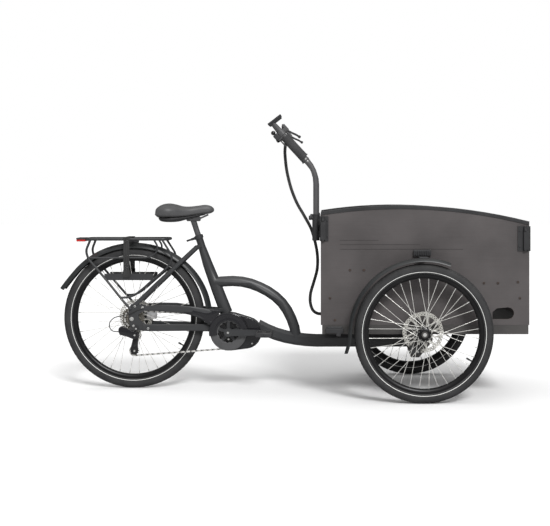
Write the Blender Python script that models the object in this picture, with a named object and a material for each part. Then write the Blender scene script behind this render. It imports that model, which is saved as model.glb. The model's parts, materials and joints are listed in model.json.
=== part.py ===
"""Electric cargo tricycle with a box that steers, modelled in metres with +Z up.

+X is forwards and the right-hand (chain) side is -Y. The origin is on the floor, in the middle of
the machine's length and width. Lengths along X are first given from the rear axle.
"""
import bpy
import bmesh
from math import acos, asin, atan2, ceil, cos, pi, radians, sin, sqrt
from mathutils import Matrix, Vector

# Gap between pieces that touch or rest on each other
GAP = 0.0003

# Wheels: 26 inch behind (559 mm rim seat) and 24 inch in front (507 mm), 50 mm tyres
REAR_TYRE_R = 0.331
REAR_RIM_R = 0.2855
FRONT_TYRE_R = 0.3035
FRONT_RIM_R = 0.2595
TYRE_WIDTH = 0.050
RIM_DEPTH = 0.030
RIM_WIDTH = 0.028
WHEEL_STEPS = 40
HUB_STEPS = 12
SPOKES = 36
SPOKE_R = 0.0013
WHEELBASE = 1.325
HALF_TRACK = 0.400

# Brake rotors
FRONT_ROTOR_R = 0.090
REAR_ROTOR_R = 0.080
ROTOR_THICK = 0.002
ROTOR_BAND = 0.016
ROTOR_ARMS = 6
FRONT_ROTOR_INSET = 0.045
REAR_ROTOR_Y = 0.052

# Cargo box
BOX_REAR = 0.877
BOX_LENGTH = 0.922
BOX_WIDTH = 0.620
BOX_BASE_Z = 0.3290
BOX_PEAK_Z = 0.8585
BOX_PEAK_FROM_REAR = 0.355
BOX_TOP_R = 2.25
BOARD = 0.012
FLOOR_BOARD = 0.012
FLOOR_JOINT = 0.140
REAR_PANEL_INSET = 0.012
REAR_PANEL_TOP_Z = 0.812
FRONT_PANEL_TOP_Z = 0.770
STEP_HOLE_X = 0.759
STEP_HOLE_LENGTH = 0.095
STEP_HOLE_Z = 0.355
STEP_HOLE_HEIGHT = 0.052
TRIM_HEIGHT = 0.016
TRIM_WIDTH = 0.018
TRIM_WALL = 0.0025
CORNER_HEIGHT = 0.110
CORNER_WALL = 0.004
CORNER_SIDE = 0.052
CORNER_FACE = 0.045
FRONT_CORNER_Z = 0.656
REAR_CORNER_Z = 0.700
BENCH_Z = 0.560
BENCH_DEPTH = 0.250
BENCH_BOARD = 0.015
CLEAT = 0.030

# Steel chassis under the box, and the pivot it turns on
RAIL = 0.040
RAIL_BASE_Z = 0.2885
PIVOT_X = 1.318
KING_PIN_R = 0.0175
PIVOT_HOUSING_R = 0.033
PIVOT_HOUSING_BASE_Z = 0.186
PIVOT_HOUSING_TOP_Z = 0.268
FRONT_AXLE_R = 0.010
AXLE_PLATE = 0.008

# Rear frame
SEAT_LEAN = radians(18.2)
CRANK_X = 0.447
CRANK_Z = 0.267
SEAT_POST_R = 0.0136
SEAT_SLEEVE_R = 0.0175
SEAT_TUBE_R = 0.0235
SEAT_TUBE_TOP = 0.473
SEAT_POST_INSERT = 0.150
SEAT_POST_LENGTH = 0.225
LEVER_HEIGHT = 0.463
LEVER_EAR = 0.026
LEVER_CAM_R = 0.0057
LEVER_LENGTH = 0.028
ARCH_R = 0.025
MAIN_TUBE_Z = 0.222
MAIN_TUBE_HALF_HEIGHT = 0.029
MAIN_TUBE_HALF_WIDTH = 0.024
HUB_HALF_SPACE = 0.0675
DROPOUT_THICK = 0.007
REAR_AXLE_R = 0.005

# Motor
MOTOR_HALF_WIDTH = 0.040
MOTOR_REAR_R = 0.075
MOTOR_FRONT_R = 0.058
MOTOR_FRONT_X = 0.527
MOTOR_FRONT_Z = 0.260
BRACKET_WALL = 0.012
BRACKET_HALF_WIDTH = 0.030
MOTOR_COVER_THICK = 0.004
COVER_LIP = 0.002
SPINDLE_R = 0.012

# Drivetrain: half inch chain
CHAIN_PITCH = 0.0127
CHAINRING_TEETH = 38
CASSETTE_TEETH = (28, 24, 22, 20, 18, 16, 14)
DRIVEN_SPROCKET = 4
PULLEY_TEETH = 11
SPROCKET_SPACING = 0.005
SPROCKET_THICK = 0.002
CHAIN_Y = -0.052
CHAIN_HALF_WIDTH = 0.0035
CHAIN_HALF_HEIGHT = 0.0015
TOOTH_CLEAR = 0.0007
CRANK_LENGTH = 0.170
CRANK_ARM_Y = 0.078
CRANK_ARM_THICK = 0.014
GUARD_R = 0.0856
GUARD_INNER_R = 0.046
PEDAL_PIN_R = 0.0045
PEDAL_LENGTH = 0.078
PEDAL_WIDTH = 0.095
PEDAL_THICK = 0.022
GEAR_CABLE_R = 0.0022
GUIDE_PULLEY_X = 0.016
GUIDE_PULLEY_Z = 0.252
TENSION_PULLEY_X = 0.010
TENSION_PULLEY_Z = 0.180

# Mudguards
GUARD_HALF_WIDTH = 0.031
GUARD_DEPTH = 0.016
REAR_GUARD_DEPTH = 0.025
REAR_GUARD_START = 8
GUARD_SHEET = 0.002
REAR_GUARD_RX = 0.366
REAR_GUARD_RZ = 0.351
REAR_GUARD_END = 157.5
REAR_FLAP = 0.012
FRONT_GUARD_R = 0.328

# Rack
RACK_Z = 0.699
RACK_HALF_WIDTH = 0.064
RACK_TUBE_R = 0.007
RACK_ROD_R = 0.0055
RACK_RAIL_R = 0.0045
RACK_CROSS_R = 0.005
STRAP_THICK = 0.0025
RACK_REAR = -0.215
RACK_FRONT = 0.165

# Handlebar
BAR_R = 0.0125
BAR_HALF_SPAN = 0.240
BAR_X = 0.855
BAR_BEND_Z = 1.015
BAR_FOOT_Z = 0.735
BAR_TOP_X = 0.668
BAR_TOP_Z = 1.2185
DISPLAY_RISE = 0.030
SHIFTER_DROP = 0.032
SHIFTER_SIDE = 0.022
CONTROL_DROP = 0.060
BRAKE_PIVOT_AHEAD = 0.028
MASTER_R = 0.0085
LEVER_CLEAR = 0.0005
BRAKE_PIVOT_IN = 0.004
PADDLE_PIVOT_IN = 0.003
SLEEVE_R = 0.0165
SLEEVE_BASE_Z = 0.700
SLEEVE_TOP_Z = 0.818
GRIP_R = 0.0175
GRIP_LENGTH = 0.125
GRIP_FROM_TOP = 0.062
CABLE_R = 0.0075
CABLE_Y = -0.150
CABLE_ENTRY_Z = 0.363

# The whole machine's length decides where the rear axle stands
FRONT_END = BOX_REAR + BOX_LENGTH + CORNER_WALL + GAP
REAR_END = (REAR_GUARD_RX + REAR_FLAP) * cos(radians(REAR_GUARD_END))
REAR_AXLE_X = -(REAR_END + FRONT_END) / 2
FLAT = cos(pi / WHEEL_STEPS)
REAR_AXLE_Z = REAR_TYRE_R * FLAT
FRONT_AXLE_Z = FRONT_TYRE_R * FLAT
HALF_BOX = BOX_WIDTH / 2

BLACK_FRAME = ("frame_black", (0.030, 0.031, 0.033), 0.42, 0.0)
GLOSS_BLACK = ("motor_gloss", (0.012, 0.012, 0.014), 0.16, 0.0)
MATT_PLASTIC = ("black_plastic", (0.025, 0.025, 0.027), 0.55, 0.0)
RUBBER = ("rubber", (0.022, 0.022, 0.022), 0.85, 0.0)
TYRE = ("tyre", (0.045, 0.045, 0.047), 0.88, 0.0)
RIM_BLACK = ("rim_black", (0.018, 0.018, 0.019), 0.35, 0.6)
STEEL = ("steel", (0.62, 0.62, 0.60), 0.28, 1.0)
DARK_STEEL = ("dark_steel", (0.16, 0.15, 0.13), 0.38, 1.0)
PLYWOOD = ("film_plywood", (0.085, 0.072, 0.066), 0.48, 0.0)
EDGE_METAL = ("edge_metal", (0.060, 0.060, 0.062), 0.40, 0.7)
SADDLE_SKIN = ("saddle_skin", (0.040, 0.041, 0.043), 0.52, 0.0)
RED_LENS = ("red_lens", (0.42, 0.015, 0.012), 0.20, 0.0)
SCREEN = ("screen", (0.010, 0.011, 0.013), 0.10, 0.0)
ALUMINIUM = ("aluminium", (0.55, 0.55, 0.56), 0.32, 1.0)


def clear_scene():
    """Remove whatever the scene holds, so that the script can be run again."""
    for item in list(bpy.data.objects):
        bpy.data.objects.remove(item, do_unlink=True)


def rear(x, y, z):
    """A point given from the rear axle along X, in the machine's own frame."""
    return Vector((REAR_AXLE_X + x, y, z))


def finish_mesh(work, name="shape"):
    """Turn a bmesh into a mesh with its faces pointing outwards."""
    bmesh.ops.recalc_face_normals(work, faces=work.faces)
    mesh = bpy.data.meshes.new(name)
    work.to_mesh(mesh)
    work.free()
    return mesh


def block(low, high, bevel=0.0):
    """A rectangular block between two corners, its edges bevelled if asked."""
    work = bmesh.new()
    bmesh.ops.create_cube(work, size=1.0)
    size = Vector(high) - Vector(low)
    middle = (Vector(high) + Vector(low)) / 2
    bmesh.ops.scale(work, vec=size, verts=work.verts)
    bmesh.ops.translate(work, vec=middle, verts=work.verts)
    if bevel > 0:
        bmesh.ops.bevel(work, geom=work.edges[:], offset=bevel, segments=1, affect="EDGES")
    return finish_mesh(work)


def turned(profile, centre, steps, axis="Y", phase=0.5):
    """Turn a closed profile of (radius, distance along the axis) round an axis through centre."""
    work = bmesh.new()
    rings = []
    for step in range(steps):
        angle = 2 * pi * (step + phase) / steps
        ring = []
        for radius, along in profile:
            if axis == "Y":
                place = Vector((radius * sin(angle), along, -radius * cos(angle)))
            else:
                place = Vector((radius * cos(angle), radius * sin(angle), along))
            ring.append(work.verts.new(centre + place))
        rings.append(ring)
    count = len(profile)
    for step in range(steps):
        here = rings[step]
        after = rings[(step + 1) % steps]
        for item in range(count):
            other = (item + 1) % count
            work.faces.new((here[item], here[other], after[other], after[item]))
    bmesh.ops.remove_doubles(work, verts=work.verts, dist=1e-7)
    return finish_mesh(work)


def cylinder(start, end, radius, sides=12, end_radius=None):
    """A round bar from start to end."""
    return sweep([start, end], circle(radius, sides), scales=[1.0, (end_radius or radius) / radius])


def circle(radius, sides, flat=1.0):
    """A round section; flat is its height over its width."""
    points = []
    for side in range(sides):
        angle = 2 * pi * (side + 0.5) / sides
        points.append((radius * cos(angle), flat * radius * sin(angle)))
    return points


def rectangle(width, height, corner=0.0):
    """A rectangular section with its corners cut off by corner."""
    half_w = width / 2
    half_h = height / 2
    if corner <= 0:
        return [(half_w, half_h), (-half_w, half_h), (-half_w, -half_h), (half_w, -half_h)]
    return [(half_w, half_h - corner), (half_w - corner, half_h), (corner - half_w, half_h),
            (-half_w, half_h - corner), (-half_w, corner - half_h), (corner - half_w, -half_h),
            (half_w - corner, -half_h), (half_w, corner - half_h)]


def sweep(points, section, closed=False, scales=None, side=None):
    """Carry a section (sideways, upwards) along points; scales stretch it, as one number or two."""
    points = [Vector(point) for point in points]
    count = len(points)
    tangents = []
    for item in range(count):
        before = points[item - 1] if (item > 0 or closed) else points[item]
        after = points[(item + 1) % count] if (item < count - 1 or closed) else points[item]
        arriving = (points[item] - before).normalized() if item > 0 or closed else Vector()
        leaving = (after - points[item]).normalized() if item < count - 1 or closed else Vector()
        tangents.append((arriving + leaving).normalized())
    across = Vector(side) if side else None
    if across is None:
        across = Vector((0, 1, 0)) if abs(tangents[0].y) < 0.8 else Vector((1, 0, 0))
    work = bmesh.new()
    rings = []
    for item in range(count):
        tangent = tangents[item]
        across = (across - tangent * across.dot(tangent)).normalized()
        upward = tangent.cross(across)
        stretch = scales[item] if scales else 1.0
        wide, high = stretch if isinstance(stretch, tuple) else (stretch, stretch)
        ring = [work.verts.new(points[item] + across * u * wide + upward * v * high) for u, v in section]
        rings.append(ring)
    size = len(section)
    for item in range(count if closed else count - 1):
        here = rings[item]
        after = rings[(item + 1) % count]
        for spot in range(size):
            other = (spot + 1) % size
            work.faces.new((here[spot], here[other], after[other], after[spot]))
    if not closed:
        work.faces.new(list(reversed(rings[0])))
        work.faces.new(rings[-1])
    return finish_mesh(work)


def prism(outline, y_low, y_high):
    """Extrude an outline of (x, z) points in the side plane from y_low to y_high."""
    work = bmesh.new()
    near = [work.verts.new((x, y_low, z)) for x, z in outline]
    face = work.faces.new(near)
    grown = bmesh.ops.extrude_face_region(work, geom=[face])
    moved = [item for item in grown["geom"] if isinstance(item, bmesh.types.BMVert)]
    bmesh.ops.translate(work, vec=(0, y_high - y_low, 0), verts=moved)
    return finish_mesh(work)


def arc(centre, radius, start, end, steps):
    """Points (x, z) on an arc in the side plane, angles in degrees from +X towards +Z."""
    points = []
    for step in range(steps + 1):
        angle = radians(start + (end - start) * step / steps)
        points.append((centre[0] + radius * cos(angle), centre[1] + radius * sin(angle)))
    return points


def smooth_route(points, spacing):
    """Even points on a smooth curve through the given points."""
    points = [Vector(point) for point in points]
    padded = [2 * points[0] - points[1]] + points + [2 * points[-1] - points[-2]]
    fine = []
    for item in range(1, len(padded) - 2):
        p0, p1, p2, p3 = padded[item - 1:item + 3]
        for step in range(20):
            t = step / 20
            fine.append(0.5 * (2 * p1 + (p2 - p0) * t + (2 * p0 - 5 * p1 + 4 * p2 - p3) * t * t
                               + (3 * p1 - p0 - 3 * p2 + p3) * t ** 3))
    fine.append(points[-1])
    total = sum((b - a).length for a, b in zip(fine, fine[1:]))
    count = max(2, ceil(total / spacing))
    route = [fine[0]]
    walked = 0.0
    for a, b in zip(fine, fine[1:]):
        length = (b - a).length
        while len(route) < count and walked + length >= total * len(route) / count:
            share = (total * len(route) / count - walked) / length if length > 0 else 0.0
            route.append(a.lerp(b, share))
        walked += length
    route.append(fine[-1])
    return route


def combine(base, tools, operation="UNION"):
    """Join meshes to, or cut them from, a base mesh with exact Booleans."""
    scene = bpy.context.scene.collection
    body = bpy.data.objects.new("working_body", base)
    scene.objects.link(body)
    helpers = []
    for tool in tools:
        helper = bpy.data.objects.new("working_tool", tool)
        scene.objects.link(helper)
        helpers.append(helper)
        change = body.modifiers.new("cut", "BOOLEAN")
        change.operation = operation
        change.solver = "EXACT"
        change.object = helper
    bpy.context.view_layer.update()
    result = bpy.data.meshes.new_from_object(body.evaluated_get(bpy.context.evaluated_depsgraph_get()))
    for item in [body] + helpers:
        bpy.data.objects.remove(item, do_unlink=True)
    work = bmesh.new()
    work.from_mesh(result)
    bmesh.ops.remove_doubles(work, verts=work.verts, dist=2e-6)
    bmesh.ops.dissolve_degenerate(work, edges=work.edges, dist=2e-6)
    bmesh.ops.triangulate(work, faces=[face for face in work.faces if len(face.verts) > 4])
    work.to_mesh(result)
    work.free()
    return result


def gather(meshes):
    """Put meshes that don't touch each other into one, to use as a single Boolean tool."""
    work = bmesh.new()
    for mesh in meshes:
        work.from_mesh(mesh)
    joined = bpy.data.meshes.new("gathered")
    work.to_mesh(joined)
    work.free()
    return joined


def get_material(finish):
    """The piece's material, made once for each finish."""
    name, colour, roughness, metallic = finish
    if name in bpy.data.materials:
        return bpy.data.materials[name]
    material = bpy.data.materials.new(name)
    material.use_nodes = True
    shader = material.node_tree.nodes["Principled BSDF"]
    shader.inputs["Base Color"].default_value = (*colour, 1.0)
    shader.inputs["Roughness"].default_value = roughness
    shader.inputs["Metallic"].default_value = metallic
    return material


def body_at(name, place, parent=None):
    """An empty on a joint's axis, which carries the pieces that move together."""
    empty = bpy.data.objects.new(name + "_axis", None)
    bpy.context.scene.collection.objects.link(empty)
    if parent:
        empty.parent = parent
        empty.location = Vector(place) - world_place(parent)
    else:
        empty.location = place
    return empty


def world_place(item):
    """Where an empty stands, adding up its parents; none of them is turned."""
    place = Vector(item.location)
    while item.parent:
        item = item.parent
        place += item.location
    return place


def add_piece(name, mesh, finish, body):
    """Hang a mesh that was made in place on its body's empty."""
    mesh.name = name
    mesh.transform(Matrix.Translation(-world_place(body)))
    mesh.materials.clear()
    mesh.materials.append(get_material(finish))
    piece = bpy.data.objects.new(name, mesh)
    piece.parent = body
    bpy.context.scene.collection.objects.link(piece)
    mesh.shade_smooth()
    mesh.set_sharp_from_angle(angle=radians(35))
    return piece


def pitch_radius(teeth):
    """Radius of the circle that a chain's pins run on."""
    return CHAIN_PITCH / 2 / sin(pi / teeth)


def sprocket(teeth, centre, thick, bore, y_middle):
    """A toothed plate whose tips stay inside the chain."""
    outer = pitch_radius(teeth) - CHAIN_HALF_HEIGHT - TOOTH_CLEAR
    root = outer - 0.0045
    outline = []
    for tooth in range(teeth):
        for share, radius in ((0.0, outer), (0.5, root)):
            angle = 2 * pi * (tooth + share) / teeth
            outline.append((centre.x + radius * cos(angle), centre.z + radius * sin(angle)))
    plate = prism(outline, y_middle - thick / 2, y_middle + thick / 2)
    hole = cylinder((centre.x, y_middle - thick, centre.z), (centre.x, y_middle + thick, centre.z), bore,
                    20)
    return combine(plate, [hole], "DIFFERENCE")


def tyre_mesh(centre, tyre_r, rim_r):
    """A tyre whose bore sits on the rim."""
    seat = rim_r + GAP
    middle = (tyre_r + seat) / 2
    half = (tyre_r - seat) / 2
    profile = [(seat, 0.6 * TYRE_WIDTH / 2)]
    for degrees in (-12, 38, 74, 106, 142, 192):
        rise = min(1.0, sin(radians(degrees)) / sin(radians(74)))
        profile.append((middle + half * rise, TYRE_WIDTH / 2 * cos(radians(degrees))))
    profile.append((seat, -0.6 * TYRE_WIDTH / 2))
    return turned(profile, centre, WHEEL_STEPS)


def rim_mesh(centre, rim_r):
    """A hollow-looking rim as one closed ring: flat seat, sides and a narrower inner edge."""
    wide = RIM_WIDTH / 2
    inner = rim_r - RIM_DEPTH
    profile = [(rim_r, wide), (rim_r, -wide), (inner + 0.010, -wide), (inner, 0.0), (inner + 0.010, wide)]
    return turned(profile, centre, WHEEL_STEPS)


def spoke_meshes(centre, rim_r, flanges, flange_r):
    """Crossed spokes from two flanges to the rim, clear of the rim and of each other."""
    spokes = []
    rim_inner = (rim_r - RIM_DEPTH) * FLAT - GAP
    for number in range(SPOKES):
        flange = flanges[number % 2]
        lean = 1 if (number // 2) % 2 else -1
        angle = 2 * pi * (number + 0.5) / SPOKES
        foot_angle = angle + lean * radians(62)
        foot_r = flange_r - 0.005
        foot_y = flange + lean * 0.0021
        foot = Vector((foot_r * cos(foot_angle), foot_y, foot_r * sin(foot_angle)))
        tip = Vector((rim_inner * cos(angle), 0.0, rim_inner * sin(angle)))
        spokes.append(sweep([centre + foot, centre + tip], circle(SPOKE_R, 3)))
    return spokes


def bore_radius(shaft, steps):
    """Radius at the corners of a faceted bore that clears a round shaft by GAP."""
    return (shaft + GAP) / cos(pi / steps)


def rotor_mesh(centre, y_place, radius, hub_r):
    """A brake rotor: a band carried by slanting arms."""
    half = ROTOR_THICK / 2
    inner = radius - ROTOR_BAND
    band = turned([(radius, half), (radius, -half), (inner, -half), (inner, half)],
                  centre + Vector((0, y_place, 0)), 24)
    arms = []
    for arm in range(ROTOR_ARMS):
        angle = 2 * pi * arm / ROTOR_ARMS
        foot = Vector((hub_r * cos(angle), 0, hub_r * sin(angle)))
        reach = inner + 0.004
        tip = Vector((reach * cos(angle + 0.45), 0, reach * sin(angle + 0.45)))
        shift = centre + Vector((0, y_place, 0))
        arms.append(sweep([shift + foot, shift + tip], rectangle(ROTOR_THICK * 0.9, 0.009)))
    return [band] + arms


def front_wheel(side, body, tag):
    """Tyre, rim and one-sided hub with its rotor towards the box."""
    centre = Vector((REAR_AXLE_X + WHEELBASE, side * HALF_TRACK, FRONT_AXLE_Z))
    add_piece(tag + "_tyre", tyre_mesh(centre, FRONT_TYRE_R, FRONT_RIM_R), TYRE, body)
    add_piece(tag + "_rim", rim_mesh(centre, FRONT_RIM_R), RIM_BLACK, body)
    bore = bore_radius(FRONT_AXLE_R, HUB_STEPS)
    rotor = -FRONT_ROTOR_INSET * side
    outline = [(bore, -0.052), (0.020, -0.052), (0.019, -0.0335), (0.030, -0.0335), (0.030, -0.0265),
               (0.017, -0.022), (0.017, 0.022), (0.030, 0.0265), (0.030, 0.0335), (0.018, 0.040),
               (bore, 0.040)]
    hub = turned([(radius, along * side) for radius, along in outline], centre, HUB_STEPS)
    extras = rotor_mesh(centre, rotor, FRONT_ROTOR_R, 0.018)
    spokes = gather(spoke_meshes(centre, FRONT_RIM_R, (0.030, -0.030), 0.030))
    add_piece(tag + "_hub", combine(hub, extras + [spokes]), STEEL, body)


def rear_wheel(body):
    """Tyre, rim and hub; the rotor is on the left and the cassette turns on the right."""
    centre = Vector((REAR_AXLE_X, 0, REAR_AXLE_Z))
    add_piece("rear_tyre", tyre_mesh(centre, REAR_TYRE_R, REAR_RIM_R), TYRE, body)
    add_piece("rear_rim", rim_mesh(centre, REAR_RIM_R), RIM_BLACK, body)
    bore = bore_radius(REAR_AXLE_R, HUB_STEPS)
    outline = [(bore, -0.064), (0.0125, -0.064), (0.0125, -0.0285), (0.030, -0.0270), (0.030, -0.0200),
               (0.017, -0.016), (0.017, 0.026), (0.030, 0.030), (0.030, 0.037), (0.020, 0.042),
               (0.020, 0.058), (bore, 0.058)]
    hub = turned(outline, centre, HUB_STEPS)
    extras = rotor_mesh(centre, REAR_ROTOR_Y, REAR_ROTOR_R, 0.018)
    spokes = gather(spoke_meshes(centre, REAR_RIM_R, (0.0335, -0.0235), 0.030))
    add_piece("rear_hub", combine(hub, extras + [spokes]), STEEL, body)


def cassette(body):
    """Seven sprockets stepping down in size towards the outside, on the hub's free body."""
    centre = Vector((REAR_AXLE_X, 0, REAR_AXLE_Z))
    bore = 0.0125 + GAP
    first = CHAIN_Y + DRIVEN_SPROCKET * SPROCKET_SPACING
    half = SPROCKET_THICK / 2
    profile = [(bore, first + half)]
    for number, teeth in enumerate(CASSETTE_TEETH):
        outer = pitch_radius(teeth) - CHAIN_HALF_HEIGHT - TOOTH_CLEAR
        profile += [(outer, profile[-1][1]), (outer, first - half - number * SPROCKET_SPACING)]
    profile.append((bore, profile[-1][1]))
    add_piece("cassette", turned(profile, centre, 24), DARK_STEEL, body)


def belt_line(wheels):
    """Points of a closed loop round wheels (x, z, radius, turn), turn +1 for clockwise."""
    count = len(wheels)
    headings = []
    for item in range(count):
        x1, z1, r1, turn1 = wheels[item]
        x2, z2, r2, turn2 = wheels[(item + 1) % count]
        distance = sqrt((x2 - x1) ** 2 + (z2 - z1) ** 2)
        bearing = atan2(z2 - z1, x2 - x1)
        headings.append(bearing + asin((turn2 * r2 - turn1 * r1) / distance))
    points = []
    for item in range(count):
        x, z, radius, turn = wheels[item]
        arriving = headings[item - 1]
        leaving = headings[item]
        swing = (arriving - leaving) * turn
        while swing < 0:
            swing += 2 * pi
        while swing > 2 * pi:
            swing -= 2 * pi
        steps = max(2, ceil(swing / radians(10)))
        for step in range(steps + 1):
            heading = arriving - turn * swing * step / steps
            points.append((x - turn * radius * sin(heading), z + turn * radius * cos(heading)))
    return points


def chain_wheels():
    """The four wheels that the chain runs round, in the order that it meets them."""
    driven = pitch_radius(CASSETTE_TEETH[DRIVEN_SPROCKET])
    return [(REAR_AXLE_X + CRANK_X, CRANK_Z, pitch_radius(CHAINRING_TEETH), 1),
            (REAR_AXLE_X + TENSION_PULLEY_X, TENSION_PULLEY_Z, pitch_radius(PULLEY_TEETH), 1),
            (REAR_AXLE_X + GUIDE_PULLEY_X, GUIDE_PULLEY_Z, pitch_radius(PULLEY_TEETH), -1),
            (REAR_AXLE_X, REAR_AXLE_Z, driven, 1)]


def chain(body):
    """The chain as one closed band on the line of its pins."""
    route = [Vector((x, CHAIN_Y, z)) for x, z in belt_line(chain_wheels())]
    section = rectangle(2 * CHAIN_HALF_WIDTH, 2 * CHAIN_HALF_HEIGHT)
    add_piece("chain", sweep(route, section, closed=True, side=(0, 1, 0)), DARK_STEEL, body)


def motor_outline(offset, start=None, end=None):
    """The motor's side outline: two arcs joined by their tangents, moved out by offset."""
    rear_centre = (REAR_AXLE_X + CRANK_X, CRANK_Z)
    front_centre = (REAR_AXLE_X + MOTOR_FRONT_X, MOTOR_FRONT_Z)
    dx = front_centre[0] - rear_centre[0]
    dz = front_centre[1] - rear_centre[1]
    bearing = atan2(dz, dx) * 180 / pi
    spread = acos((MOTOR_REAR_R - MOTOR_FRONT_R) / sqrt(dx * dx + dz * dz)) * 180 / pi
    upper = bearing + spread
    lower = bearing - spread
    if start is None:
        return (arc(front_centre, MOTOR_FRONT_R + offset, lower, upper, 10)
                + arc(rear_centre, MOTOR_REAR_R + offset, upper, 360 + lower, 12))
    return (arc(front_centre, MOTOR_FRONT_R + offset, start, upper, 5)
            + arc(rear_centre, MOTOR_REAR_R + offset, upper, end, 5))


def motor(body):
    """Mid motor: a housing under the bracket, and a glossy cover on the chain side."""
    through = cylinder(rear(CRANK_X, -0.1, CRANK_Z), rear(CRANK_X, 0.1, CRANK_Z), SPINDLE_R + GAP, 16)
    housing = prism(motor_outline(0.0), -MOTOR_HALF_WIDTH, MOTOR_HALF_WIDTH)
    left_boss = cylinder(rear(MOTOR_FRONT_X, 0.03, MOTOR_FRONT_Z),
                         rear(MOTOR_FRONT_X, 0.052, MOTOR_FRONT_Z),
                         0.050, 20, 0.045)
    housing = combine(housing, [left_boss])
    add_piece("motor_housing", combine(housing, [through], "DIFFERENCE"), MATT_PLASTIC, body)
    inner = -MOTOR_HALF_WIDTH - GAP
    cover = prism(motor_outline(BRACKET_WALL + COVER_LIP), inner - MOTOR_COVER_THICK, inner)
    through = cylinder(rear(CRANK_X, -0.1, CRANK_Z), rear(CRANK_X, 0.1, CRANK_Z), SPINDLE_R + 0.004, 16)
    add_piece("motor_cover", combine(cover, [through], "DIFFERENCE"), GLOSS_BLACK, body)


def seat_axis(distance, forward=0.0, y=0.0):
    """A point on the seat tube's axis, measured up from the crank axis."""
    base = rear(CRANK_X, y, CRANK_Z)
    along = Vector((-sin(SEAT_LEAN), 0, cos(SEAT_LEAN)))
    ahead = Vector((cos(SEAT_LEAN), 0, sin(SEAT_LEAN)))
    return base + along * distance + ahead * forward


def seat_tube_mesh(extra):
    """The seat tube's wide lower length, which narrows to the sleeve; extra widens it all round."""
    widths = ((0.084, 0.012, 1.0, 1.28), (0.20, 0.006, 1.0, 1.2), (0.33, 0.0, 0.95, 1.0),
              (0.41, 0.0, 0.80, 0.78))
    radius = SEAT_TUBE_R + extra
    return sweep([seat_axis(height, forward) for height, forward, wide, deep in widths], circle(radius, 12),
                 scales=[(wide, deep) for height, forward, wide, deep in widths])


def main_frame(body):
    """Seat tube, arch tube, low main tube, motor bracket and pivot housing, welded into one."""
    bracket_outer = motor_outline(BRACKET_WALL, 4, 152)
    bracket = prism(bracket_outer, -BRACKET_HALF_WIDTH, BRACKET_HALF_WIDTH)
    lower_tube = seat_tube_mesh(0.0)
    sleeve = cylinder(seat_axis(0.36), seat_axis(SEAT_TUBE_TOP), SEAT_SLEEVE_R, 14)
    collar = cylinder(seat_axis(SEAT_TUBE_TOP - 0.018), seat_axis(SEAT_TUBE_TOP - 0.002),
                      SEAT_SLEEVE_R + 0.004, 14)
    clamp_ear = sweep([seat_axis(LEVER_HEIGHT, -0.012), seat_axis(LEVER_HEIGHT, -LEVER_EAR)],
                      rectangle(0.020, 0.012))
    arch_points = [rear(x, 0, z) for x, z in ((0.375, 0.494), (0.430, 0.499), (0.477, 0.500),
                                              (0.522, 0.494),
                                              (0.566, 0.481), (0.620, 0.456), (0.669, 0.422),
                                              (0.705, 0.383),
                                              (0.731, 0.338), (0.750, 0.290), (0.760, 0.240))]
    arch = sweep(smooth_route(arch_points, 0.045), circle(ARCH_R, 12))
    main_points = [rear(x, 0, z) for x, z in ((0.578, 0.292), (0.625, 0.268), (0.680, 0.247),
                                              (0.745, 0.232),
                                              (0.830, MAIN_TUBE_Z), (0.900, MAIN_TUBE_Z))]
    route = smooth_route(main_points, 0.05) + [rear(PIVOT_X, 0, MAIN_TUBE_Z)]
    tube = sweep(route, rectangle(2 * MAIN_TUBE_HALF_WIDTH, 2 * MAIN_TUBE_HALF_HEIGHT, 0.014))
    housing = cylinder(rear(PIVOT_X, 0, PIVOT_HOUSING_BASE_Z), rear(PIVOT_X, 0, PIVOT_HOUSING_TOP_Z),
                       PIVOT_HOUSING_R, 20)
    frame = combine(bracket, [lower_tube, sleeve, collar, clamp_ear, arch, tube, housing])
    pin_bore = cylinder(rear(PIVOT_X, 0, 0.1), rear(PIVOT_X, 0, 0.35), KING_PIN_R + GAP, 20)
    post_bore = cylinder(seat_axis(SEAT_TUBE_TOP - 0.19), seat_axis(SEAT_TUBE_TOP + 0.05),
                         SEAT_POST_R + GAP, 16)
    motor_room = prism(motor_outline(GAP), -MOTOR_HALF_WIDTH - 0.02, MOTOR_HALF_WIDTH + 0.02)
    add_piece("main_frame", combine(frame, [pin_bore, post_bore, motor_room], "DIFFERENCE"), BLACK_FRAME,
              body)


def stay(points, height, width, scales, side):
    """One stay: points are (x, y, z) from the rear axle, on the given side."""
    route = [rear(x, side * y, z) for x, y, z in points]
    return sweep(route, rectangle(width, height, 0.3 * min(width, height)), scales=scales)


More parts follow.
